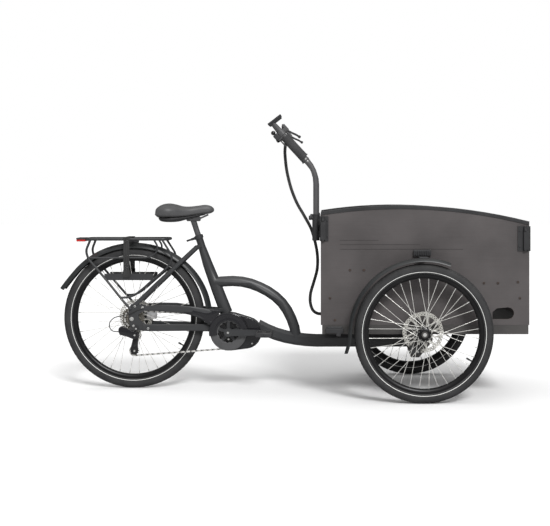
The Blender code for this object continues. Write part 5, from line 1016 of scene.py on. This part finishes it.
# ---- Rear rack ----
# Bent steel tube: a top loop with cross tubes, side loops for bags and struts down to the dropouts.
# Coated as the frame, with a pressed strip along the deck, side plates, a hooked rubber strap and a red lamp.
RACK_Z = 0.699
RACK_FRONT = 0.165
RACK_BACK = -0.215
LOOP_R = 0.0069
RAIL_R = 0.0045
STRUT_R = 0.0055
corner = 0.030
half = 0.064
side_y = half + 0.004
loop_points = [at(*off_centre(middle, corner, radians(start + 90 * step / 8)), RACK_Z)
               for middle, start in (((RACK_FRONT - corner, half - corner), 0),
                                     ((RACK_BACK + corner, half - corner), 90),
                                     ((RACK_BACK + corner, corner - half), 180),
                                     ((RACK_FRONT - corner, corner - half), 270)) for step in range(9)]
rack_tubes = [pipe("rack_loop", loop_points, LOOP_R, 5, closed=True)]
rack_tubes += [pipe("rack_cross", [at(x, -half, RACK_Z), at(x, half, RACK_Z)], 0.005, 4)
               for x in (-0.130, 0.0, 0.100)]
for side in (-1, 1):
    y = side * side_y
    foot_y = side * (DROPOUT_FACE_Y + STRUT_R + CLEAR)
    strut = [at(-0.193, side * half, RACK_Z), at(-0.214, y, 0.646), at(-0.204, y, 0.610), at(-0.120, y, 0.511),
             at(-0.040, foot_y, 0.415), at(-0.004, foot_y, 0.376)]
    rail = [at(-0.2045, y, 0.612), at(-0.060, y, 0.613), at(0.078, y, 0.614), at(0.114, y, 0.636),
            at(0.120, y, 0.665), at(0.100, side * half, RACK_Z)]
    pannier = [at(0.138, side * half, RACK_Z), at(0.160, y, 0.664), at(0.183, y, 0.628), at(0.184, y, 0.596),
               at(0.160, y, 0.564), at(0.075, y, 0.4915), at(0.046, y, 0.4650), at(0.010, y, 0.4380),
               at(-0.020, y + side * 0.004, 0.4290), at(-0.050, foot_y - side * 0.004, 0.4290)]
    for tube, radius in ((strut, STRUT_R), (rail, RAIL_R), (pannier, 0.0050)):
        bent = [tube[0]]
        for before, here, after in zip(tube, tube[1:], tube[2:]):
            reach = min(0.016, (here - before).length * 0.45, (after - here).length * 0.45)
            a = here + (before - here).normalized() * reach
            b = here + (after - here).normalized() * reach
            for step in range(6):
                share = step / 5
                bent.append(a.lerp(here, share).lerp(here.lerp(b, share), share))
        bent.append(tube[-1])
        rack_tubes.append(pipe("rack_tube", bent, radius, 4))
fitted(smooth(joined("rack_tubes", rack_tubes), 50), charcoal_coat, "rear_frame", "frame_black", "rear_rack")


def box_piece(name, corner, opposite, width, segments=2):
    """A block between two opposite corners with its edges rounded, for sheet, board and moulded parts."""
    low = Vector(map(min, corner, opposite))
    high = Vector(map(max, corner, opposite))
    return round_edges(block(high - low, (low + high) / 2, name), width, segments)


deck_strips = [box_piece("deck_strip", at(-0.150, -0.022, RACK_Z - 0.0025), at(0.120, 0.022, RACK_Z + 0.0025),
                         0.001)]
deck_strips += [box_piece("side_plate", at(-0.128, side * side_y - 0.002, 0.509),
                          at(0.098, side * side_y + 0.002, 0.539), 0.0012) for side in (-1, 1)]
deck_strips += [box_piece("deck_rib", at(x, -0.019, RACK_Z + 0.0018), at(x + 0.010, 0.019, RACK_Z + 0.0036),
                          0.0006) for x in (-0.110, -0.075, 0.030, 0.065)]
fitted(joined("rack_deck_and_side_plates", deck_strips), charcoal_coat, "rear_frame", "frame_black",
       "rear_rack")
strap_inner = side_y + RAIL_R + CLEAR
strap_parts = [box_piece("strap_top", at(-0.0395, -strap_inner - 0.003, RACK_Z + 0.0073),
                         at(-0.0105, strap_inner + 0.003, RACK_Z + 0.0098), 0.0008)]
for side in (-1, 1):
    strap_parts += [box_piece("strap_band", at(start, side * strap_inner, 0.530),
                              at(start + 0.0092, side * (strap_inner + 0.0025), RACK_Z + 0.0083), 0.0008)
                    for start in (-0.0390, -0.0296, -0.0202)]
    strap_parts.append(box_piece("strap_hook", at(-0.0405, side * strap_inner, 0.5205),
                                 at(-0.0090, side * (strap_inner + 0.0026), 0.5560), 0.0012))
fitted(joined("rack_rubber_straps", strap_parts), soft_rubber, "rear_frame", "rubber", "rack_strap")
lamp_front = RACK_BACK - LOOP_R - CLEAR
lamp_case = box_piece("rear_lamp_case", at(lamp_front - 0.0438, -0.0415, RACK_Z - 0.0030),
                      at(lamp_front, 0.0415, RACK_Z + 0.0058), 0.0028, 3)
fitted(lamp_case, matt_plastic, "rear_frame", "black_plastic", "rear_lamp")
red_lens = surface("red_lens", (0.42, 0.015, 0.012), (0.50, 0.022, 0.016), 0.20, patch=40, grain=260,
                   swing=0.05, dust=0.05, relief=0.0002, coat=0.5)
lens = box_piece("rear_lamp_lens", at(lamp_front - 0.0430, -0.0408, RACK_Z - 0.0118),
                 at(lamp_front - 0.0010, 0.0408, RACK_Z - 0.0026), 0.0030, 3)
fitted(lens, red_lens, "rear_frame", "red_lens", "rear_lamp")

# ---- Seat post, clamp and saddle ----
# An alloy post in the frame's sleeve with a rail clamp, and a wide city saddle on two steel rails.
# The saddle is foam under a moulded grained cover with a sewn edge, on a black plastic base.
anodised = surface("grey_anodised_alloy", (0.085, 0.085, 0.088), (0.110, 0.110, 0.113), 0.34, metallic=0.35,
                   patch=25, grain=2600, swing=0.15, dust=0.06)
from_cad("seat_post", "seat_post_and_rails", 0.0010, anodised, "seat_post", "rim_black")
from_cad("saddle_clamp_lever", "saddle_quick_release", 0.0010, matt_plastic, "saddle_clamp_lever",
         "black_plastic")

saddle_stations = [(0.1010, 0.020, 0.8270, 0.8170), (0.1050, 0.052, 0.8350, 0.8090),
                   (0.1120, 0.079, 0.8465, 0.8005), (0.1350, 0.0985, 0.8604, 0.7925),
                   (0.1650, 0.1025, 0.8652, 0.7900), (0.1950, 0.0925, 0.8603, 0.7915),
                   (0.2280, 0.0665, 0.8524, 0.7955), (0.2620, 0.0455, 0.8514, 0.8005),
                   (0.2980, 0.0355, 0.8549, 0.8075), (0.3340, 0.0305, 0.8584, 0.8135),
                   (0.3580, 0.0245, 0.8535, 0.8185), (0.3700, 0.0150, 0.8450, 0.8250),
                   (0.3740, 0.0060, 0.8370, 0.8300)]
fine_stations = smooth_line([Vector((x, half_wide, top)) for x, half_wide, top, base in saddle_stations], 0.005)
base_line = smooth_line([Vector((x, 0, base)) for x, half_wide, top, base in saddle_stations], 0.0045)


def base_at(x):
    """The saddle's lower edge at x, read along its base line."""
    for a, b in zip(base_line, base_line[1:]):
        if a.x <= x <= b.x and b.x > a.x:
            return a.lerp(b, (x - a.x) / (b.x - a.x)).z
    return base_line[-1].z if x > base_line[-1].x else base_line[0].z


def cover_point(station, angle):
    """Where the cover is at an angle round a station: x, across and up."""
    x, half_wide, top = station
    base = base_at(x)
    middle = base + 0.45 * (top - base)
    across = half_wide * abs(cos(angle)) ** 0.75 * (1 if cos(angle) > 0 else -1)
    rise = sin(angle)
    if rise > 0:
        return x, across, middle + (top - middle) * rise ** 0.8
    return x, across, middle - (middle - base) * (-rise) ** 0.6


GROOVE_X = 0.215
GROOVE_HALF_LENGTH = 0.105
GROOVE_HALF_WIDTH = 0.013
GROOVE_DEPTH = 0.0032
rings = []
around = 40
for station in fine_stations:
    groove = max(0.0, 1 - abs(station.x - GROOVE_X) / GROOVE_HALF_LENGTH) * GROOVE_DEPTH
    ring = []
    for step in range(around):
        angle = 2 * pi * (step + 0.5) / around
        x, across, height = cover_point(station, angle)
        if sin(angle) < -0.5:
            across *= 0.86
        if sin(angle) > 0.6:
            height -= groove * max(0.0, 1 - (across / GROOVE_HALF_WIDTH) ** 2)
        ring.append(at(x, across, height))
    rings.append(ring)


def rounded_off(piece, levels):
    """Subdivide a skin into the smooth form that it outlines."""
    choose(piece)
    rounder = piece.modifiers.new("rounder", "SUBSURF")
    rounder.levels = levels
    rounder.render_levels = levels
    bpy.ops.object.modifier_apply(modifier=rounder.name)
    return smooth(piece, 60)


saddle = rounded_off(skinned("saddle_cover", rings), 1)
saddle_skin = surface("grained_saddle_skin", (0.060, 0.060, 0.062), (0.075, 0.075, 0.077), 0.50, patch=12,
                      grain=520, dust=0.10, relief=0.00035)
fitted(saddle, saddle_skin, "seat_post", "saddle_skin", "saddle")
shell_stations = [(0.119, 0.058, 0.8040, 0.7935), (0.127, 0.074, 0.8040, 0.7820),
                  (0.148, 0.086, 0.8040, 0.7780), (0.180, 0.088, 0.8040, 0.7776),
                  (0.208, 0.074, 0.8040, 0.7795), (0.232, 0.056, 0.8040, 0.7860),
                  (0.262, 0.036, 0.8070, 0.7945), (0.300, 0.025, 0.8130, 0.8035),
                  (0.336, 0.020, 0.8200, 0.8110)]
shell_section = [(0.92, 1.00), (1.00, 0.66), (0.97, 0.34), (0.84, 0.08), (0.60, 0.00), (0.0, -0.04),
                 (-0.60, 0.00), (-0.84, 0.08), (-0.97, 0.34), (-1.00, 0.66), (-0.92, 1.00)]
shell_rings = [[at(x, half_wide * across, low + (high - low) * up) for across, up in shell_section]
               for x, half_wide, high, low in shell_stations]
fitted(rounded_off(skinned("saddle_base_shell", shell_rings), 2), matt_plastic, "seat_post", "saddle_skin",
       "saddle")
seam_line = [cover_point(station, radians(-22)) for station in fine_stations[3:-2]]
seam_points = [at(x, y + 0.0002, z) for x, y, z in seam_line]
seam_points += [at(x, -y - 0.0002, z) for x, y, z in reversed(seam_line)]
fitted(pipe("saddle_piping", seam_points, 0.0011, 2, closed=True), soft_rubber, "seat_post", "rubber")

# ---- Front chassis ----
# A welded steel frame under the box with the king pin, the axle plates and the two stub axles.
# Square tube rails in a warm charcoal coat; a flat plated cap closes each stub axle.
rail_coat = surface("rail_coat", (0.050, 0.047, 0.046), (0.060, 0.056, 0.054), 0.46, patch=6, grain=1400,
                    dust=0.15)
from_cad("front_chassis", "front_chassis_rails", 0.0020, rail_coat, "front_assembly", "frame_black")
end_bolts = [standing(at(x, side * 0.3178, z), (0, side, 0)) for side in (-1, 1)
             for x, z in ((1.290, 0.313), (1.360, 0.313), (1.300, 0.225))]
repeated("axle_plate_bolts", bolt_model(0.0058, 0.0036), end_bolts, plated_steel, "front_assembly", "steel")
for side, tag in SIDES:
    cap = turned("axle_end_cap_" + tag, [(0, side * -0.0006), (0.0080, side * -0.0006), (0.0080, side * 0.0001),
                                         (0.0068, side * 0.0004), (0, side * 0.0004)],
                 at(FRONT_AXLE_X, side * 0.4480, FRONT_AXLE_Z), 24, closed=False)
    fitted(cap, plated_steel, "front_assembly", "steel")

# A two part clamp block with a rounded cap sits on each rail under the box's rear corner.
for side, tag in SIDES:
    low_y, high_y = sorted((side * (BOX_SIDE_Y + 0.0005), side * (BOX_SIDE_Y + 0.0130)))
    parts = [box_piece("block", at(0.898, low_y, 0.2930), at(0.978, high_y, 0.3150), 0.0030, 3),
             box_piece("block_cap", at(0.904, low_y, 0.3140), at(0.972, high_y + 0.0005, 0.3235), 0.0035, 3),
             box_piece("block_foot", at(0.946, low_y, 0.2800), at(0.966, high_y - 0.0015, 0.2960), 0.0020, 2)]
    fitted(joined("rail_clamp_block_" + tag, parts), matt_plastic, "front_assembly", "black_plastic")

# ---- Cargo box ----
# Boards of birch plywood faced with a dark brown phenolic film, 12 mm thick, screwed to the chassis.
# The film is smooth with a faint mesh and scuffs; the cut edges show the plies and are sealed dark.
def film_group():
    """A phenolic film face: slow brown and grey clouds, long faint grain, fine mesh and rare scuffs."""
    group, start, end = group_of("phenolic_film", {"Across": "Vector"},
                                 {"Colour": "Color", "Roughness": "Float", "Height": "Float"})
    place = node_of(group, "ShaderNodeTexCoord")
    clouds = node_of(group, "ShaderNodeTexNoise", {"Scale": 4.0, "Detail": 7})
    stretched = node_of(group, "ShaderNodeMapping", {"Scale": (2.0, 14.0, 60.0)})
    streaks = node_of(group, "ShaderNodeTexNoise", {"Scale": 3.0, "Detail": 6})
    mixed = node_of(group, "ShaderNodeMath", {1: 0.16}, operation="MULTIPLY_ADD")
    shade = node_of(group, "ShaderNodeMapRange", {"From Min": 0.40, "From Max": 0.76})
    film = node_of(group, "ShaderNodeMix", {"A": (0.054, 0.048, 0.048, 1), "B": (0.082, 0.073, 0.073, 1)},
                   data_type="RGBA")
    scuff_map = node_of(group, "ShaderNodeMapping", {"Scale": (5.0, 9.0, 210.0)})
    scuffs = node_of(group, "ShaderNodeTexNoise", {"Scale": 2.0, "Detail": 3})
    rare = node_of(group, "ShaderNodeMapRange", {"From Min": 0.68, "From Max": 0.80, "To Max": 0.10})
    scuffed = node_of(group, "ShaderNodeMix", {"B": (0.150, 0.135, 0.125, 1)}, data_type="RGBA")
    facing = node_of(group, "ShaderNodeNewGeometry")
    along = node_of(group, "ShaderNodeVectorMath", operation="DOT_PRODUCT")
    size = node_of(group, "ShaderNodeMath", operation="ABSOLUTE")
    edge = node_of(group, "ShaderNodeMath", {1: 0.6}, operation="LESS_THAN")
    depth = node_of(group, "ShaderNodeVectorMath", operation="DOT_PRODUCT")
    layers = node_of(group, "ShaderNodeMath", {1: 2 * pi / 0.0028}, operation="MULTIPLY")
    wave = node_of(group, "ShaderNodeMath", operation="SINE")
    ply = node_of(group, "ShaderNodeMapRange", {"From Min": -0.6, "From Max": 0.6})
    wood = node_of(group, "ShaderNodeMix", {"A": (0.100, 0.070, 0.050, 1), "B": (0.045, 0.034, 0.027, 1)},
                   data_type="RGBA")
    whole = node_of(group, "ShaderNodeMix", data_type="RGBA")
    rough = node_of(group, "ShaderNodeMapRange", {"To Min": 0.40, "To Max": 0.62})
    fine_mesh = node_of(group, "ShaderNodeTexVoronoi", {"Scale": 520.0})
    wired(group, (place, "Object", clouds, "Vector"), (place, "Object", stretched, "Vector"),
          (place, "Object", scuff_map, "Vector"), (place, "Object", fine_mesh, "Vector"),
          (stretched, "Vector", streaks, "Vector"), (scuff_map, "Vector", scuffs, "Vector"),
          (streaks, "Fac", mixed, 0), (clouds, "Fac", mixed, 2), (mixed, "Value", shade, "Value"),
          (shade, "Result", film, "Factor"), (scuffs, "Fac", rare, "Value"),
          (rare, "Result", scuffed, "Factor"), (film, "Result", scuffed, "A"), (facing, "Normal", along, 0),
          (start, "Across", along, 1), (along, "Value", size, 0), (size, "Value", edge, 0),
          (place, "Object", depth, 0), (start, "Across", depth, 1), (depth, "Value", layers, 0),
          (layers, "Value", wave, 0), (wave, "Value", ply, "Value"), (ply, "Result", wood, "Factor"),
          (edge, "Value", whole, "Factor"), (scuffed, "Result", whole, "A"), (wood, "Result", whole, "B"),
          (clouds, "Fac", rough, "Value"), (whole, "Result", end, "Colour"),
          (rough, "Result", end, "Roughness"), (fine_mesh, "Distance", end, "Height"))
    return group


phenolic_film = film_group()
for across, tag, boards in (((0, 1, 0), "side", ("box_side_right", "box_side_left")),
                            ((1, 0, 0), "end", ("box_front", "box_rear")),
                            ((0, 0, 1), "flat", ("box_floor", "floor_rear", "bench_board"))):
    board_film = finish_from("film_faced_plywood_" + tag, phenolic_film, {"Across": across}, 0.5, 0.00008)
    for node in boards:
        from_cad(node, node + "_board", 0.0008, board_film, "front_assembly", "film_plywood")
# Ribbed black rubber mats lie on the floor boards; their black is also painted shade for the box's inside where
# the step holes show it.
for mat_name, node, low_x, high_x in (("floor_mat_and_painted_shade_rear", "floor_rear", 0.8925, 1.0160),
                                      ("floor_mat_and_painted_shade_front", "box_floor", 1.0180, 1.7860)):
    mat = [box_piece("mat", at(low_x, -0.2960, 0.3412), at(high_x, 0.2960, 0.3430), 0.0006, 1)]
    rib_pitch = 0.0160
    for rib in range(int((high_x - low_x) / rib_pitch)):
        start_x = low_x + 0.004 + rib * rib_pitch
        mat.append(box_piece("mat_rib", at(start_x, -0.2900, 0.3424),
                             at(start_x + rib_pitch / 2, 0.2900, 0.3438), 0.0004, 1))
    fitted(joined(mat_name, mat), soft_rubber, "front_assembly", "rubber", node)
from_cad("battery", "battery_case", 0.0030, matt_plastic, "front_assembly", "black_plastic")

# Three printed lines run back along each side, the lowest one longest; they are dark ink on the film.
LINE_INK = 0.0002
ink = surface("dark_line_ink", (0.022, 0.020, 0.020), (0.030, 0.027, 0.026), 0.5, patch=30, grain=900, dust=0.0)
for side, tag in SIDES:
    strips = [box_piece("line", at(0.962, side * (BOX_SIDE_Y - LINE_INK), z - 0.0011),
                        at(end_x, side * (BOX_SIDE_Y + LINE_INK), z + 0.0011), 0.0001, 1)
              for end_x, z in ((1.132, 0.7035), (1.316, 0.6845), (1.506, 0.6640))]
    fitted(joined("box_side_lines_" + tag, strips), ink, "front_assembly", "film_plywood")

# Coach bolts pass through the sides into the bench cleats and the floor's bearers; their heads are browned.
browned_steel = surface("browned_bolt_steel", (0.10, 0.075, 0.065), (0.06, 0.05, 0.045), 0.5, metallic=0.6,
                        patch=90, grain=1500)
coach_bolts = [standing(at(x, side * (BOX_SIDE_Y - 0.0001), z), (0, side, 0)) for side in (-1, 1)
               for x, z in ((1.006, 0.572), (1.068, 0.572), (0.918, 0.448), (0.940, 0.351), (1.598, 0.5145),
                            (1.660, 0.5145), (1.748, 0.519), (1.757, 0.448))]
repeated("box_side_bolts", bolt_model(0.0060, 0.0022), coach_bolts, browned_steel, "front_assembly", "steel")

# ---- Edge trims and corner brackets ----
# Folded dark metal channels ride on the arched top edges, and angle plates with a socket guard each corner.
# The sockets take the poles of a rain cover, clamped by a small knob; two bolts hold each plate.
trim_metal = surface("dark_trim_metal", (0.045, 0.045, 0.047), (0.056, 0.056, 0.058), 0.42, metallic=0.5,
                     patch=12, grain=1400, dust=0.12)
for tag in ("right", "left"):
    from_cad("edge_trim_" + tag, "arched_edge_trim_" + tag, 0.0006, trim_metal, "front_assembly", "edge_metal")
for node in ("front_right_corner", "front_left_corner", "rear_right_corner", "rear_left_corner"):
    from_cad(node, node + "_plate", 0.0012, trim_metal, "front_assembly", "edge_metal")
    low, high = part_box(node)
    side = -1 if "right" in node else 1
    bolt_x = low.x + (high.x - low.x) * (0.16 if "front" in node else 0.90)
    spots = [standing((bolt_x, side * 0.3143, low.z + rise), (0, side, 0)) for rise in (0.020, 0.090)]
    repeated(node + "_bolts", bolt_model(0.0040, 0.0022), spots, trim_metal, "front_assembly", "edge_metal")
    middle_x = high.x - 0.0245 if "front" in node else low.x + 0.0140
    tube = pipe(node + "_pole_socket", [(middle_x, side * 0.3192, z) for z in (low.z + 0.001, high.z - 0.001)],
                0.0070, 5)
    fitted(tube, trim_metal, "front_assembly", "edge_metal")
    cap = turned(node + "_pole_knob", [(0, -0.0065), (0.0045, -0.0065), (0.0062, -0.0050), (0.0062, -0.0015),
                                       (0.0040, 0.0), (0, 0.0)], (0, 0, 0), 12, closed=False)
    cap.data.transform(Matrix.Translation((middle_x, side * 0.3262, high.z - 0.016))
                       @ Matrix.Rotation(0 if side < 0 else pi, 4, "Z"))
    fitted(cap, matt_plastic, "front_assembly", "edge_metal")

# ---- Handlebar, sleeves and controls ----
# One bent steel hoop slides in two sleeves on the box's rear wall, held by a clamp knob on each.
# Its slanting arms carry the grips, brake masters and levers, the shifter and, in the middle, the display.
from_cad("handlebar_sleeves", "handlebar_sleeve_tubes", 0.0010, trim_metal, "front_assembly", "edge_metal")
hoop_coat = surface("grey_hoop_coat", (0.066, 0.066, 0.068), (0.078, 0.077, 0.079), 0.44, patch=8, grain=1500,
                    dust=0.08)
from_cad("handlebar", "handlebar_hoop_and_clamps", 0.0010, hoop_coat, "handlebar", "frame_black")
HOOP_Y = 0.240
ARM_TOP = (0.668, 1.2185)
ARM_FOOT = (0.855, 1.015)
rise = Vector((ARM_TOP[0] - ARM_FOOT[0], 0, ARM_TOP[1] - ARM_FOOT[1])).normalized()
ahead = Vector((rise.z, 0, -rise.x))
grip_rubber = surface("ribbed_grip_rubber", (0.034, 0.034, 0.036), (0.045, 0.045, 0.047), 0.78, patch=20,
                      grain=900, dust=0.12, relief=0.0001)
arm_bolts = []
for side, tag in SIDES:
    top = at(ARM_TOP[0], side * HOOP_Y, ARM_TOP[1])
    start = top - rise * 0.074
    end = start - rise * 0.125
    ribs = 56
    points = [start.lerp(end, step / ribs) for step in range(ribs + 1)]
    swell = []
    for step in range(ribs + 1):
        share = step / ribs
        flare = 1.0 + 0.07 * max(0.0, 1 - share / 0.05) + 0.11 * max(0.0, (share - 0.94) / 0.06)
        groove = 0.955 if step % 2 and 0.08 < share < 0.92 else 1.0
        swell.append(flare * groove)
    fitted(pipe("ribbed_grip_" + tag, points, 0.0196, 8, swell=swell), grip_rubber, "handlebar", "rubber",
           "grip_" + tag)
    from_cad("brake_lever_" + tag, "brake_lever_blade_" + tag, 0.0012, matt_plastic, "brake_lever_" + tag,
             "dark_steel")
    arm_bolts += [standing(end - rise * (0.010 + 0.013 * number) - Vector((0, side * -0.0120, 0)), (0, side, 0))
                  for number in range(2)]
repeated("handlebar_arm_bolts", bolt_model(0.0040, 0.0028), arm_bolts, plated_steel, "handlebar", "steel")
from_cad("shift_paddle", "shift_paddle_blade", 0.0010, matt_plastic, "shift_paddle", "black_plastic")
from_cad("display", "display_case", 0.0016, matt_plastic, "handlebar", "screen")


def leaning(along, up):
    """The turn that lays X along one direction and Z along the other."""
    return Matrix((along, Vector((0, 1, 0)), up)).transposed().to_4x4()


face = Vector((-0.61, 0, 0.79)).normalized()
slope = Vector((face.z, 0, -face.x))
glass_middle = at(ARM_TOP[0], 0, ARM_TOP[1]) + face * 0.0353
screen_glass = surface("dark_screen_glass", (0.010, 0.011, 0.013), (0.012, 0.013, 0.016), 0.10, patch=20,
                       grain=100, swing=0.02, dust=0.0, relief=0.000005, coat=0.8)
glass = block((1, 1, 1), name="display_glass")
turn = leaning(slope, face)
glass.data.transform(Matrix.Translation(glass_middle + slope * 0.016 + face * 0.0044) @ turn
                     @ Matrix.Diagonal((0.062, 0.052, 0.0016, 1)))
round_edges(glass, 0.0006)
fitted(glass, screen_glass, "handlebar", "screen")
back = box_piece("display_back", (-0.020, -0.029, -0.0042), (0.050, 0.029, 0.0042), 0.0038, 3)
back.data.transform(Matrix.Translation(glass_middle - face * 0.0078) @ turn)
fitted(back, matt_plastic, "handlebar", "screen", "display")

# The shifter's pod hangs under the right grip's inner end with the small domed bell behind it, both black.
pod = box_piece("shifter_pod", (-0.0150, -0.0140, -0.0120), (0.0150, 0.0140, 0.0120), 0.0045, 3)
pod.data.transform(Matrix.Translation(at(0.6810, -HOOP_Y, 1.1630)) @ leaning(rise, ahead))
fitted(pod, matt_plastic, "handlebar", "black_plastic")
bell = turned("handlebar_bell", [(0, -0.0100), (0.0050, -0.0094), (0.0086, -0.0070), (0.0100, -0.0030),
                                 (0.0102, 0.0010), (0.0060, 0.0014), (0.0060, 0.0060), (0, 0.0060)], (0, 0, 0),
              28, closed=False)
bell.data.transform(Matrix.Translation(at(0.6640, -HOOP_Y, 1.1815)) @ Matrix.Rotation(radians(8), 4, "Z"))
fitted(bell, black_steel_and_painted_shade, "handlebar", "dark_steel")
knob_model = turned("sleeve_knob", [(0, -0.014), (0.0085, -0.014), (0.0105, -0.011), (0.0105, -0.002),
                                    (0.0080, 0.0), (0, 0.0)], (0, 0, 0), 14, closed=False)
knob_places = [Matrix.Translation(at(0.8371, side * HOOP_Y, 0.802)) @ Matrix.Rotation(-pi / 2, 4, "Z")
               for side in (-1, 1)]
repeated("sleeve_clamp_knobs", knob_model, knob_places, matt_plastic, "front_assembly", "black_plastic")
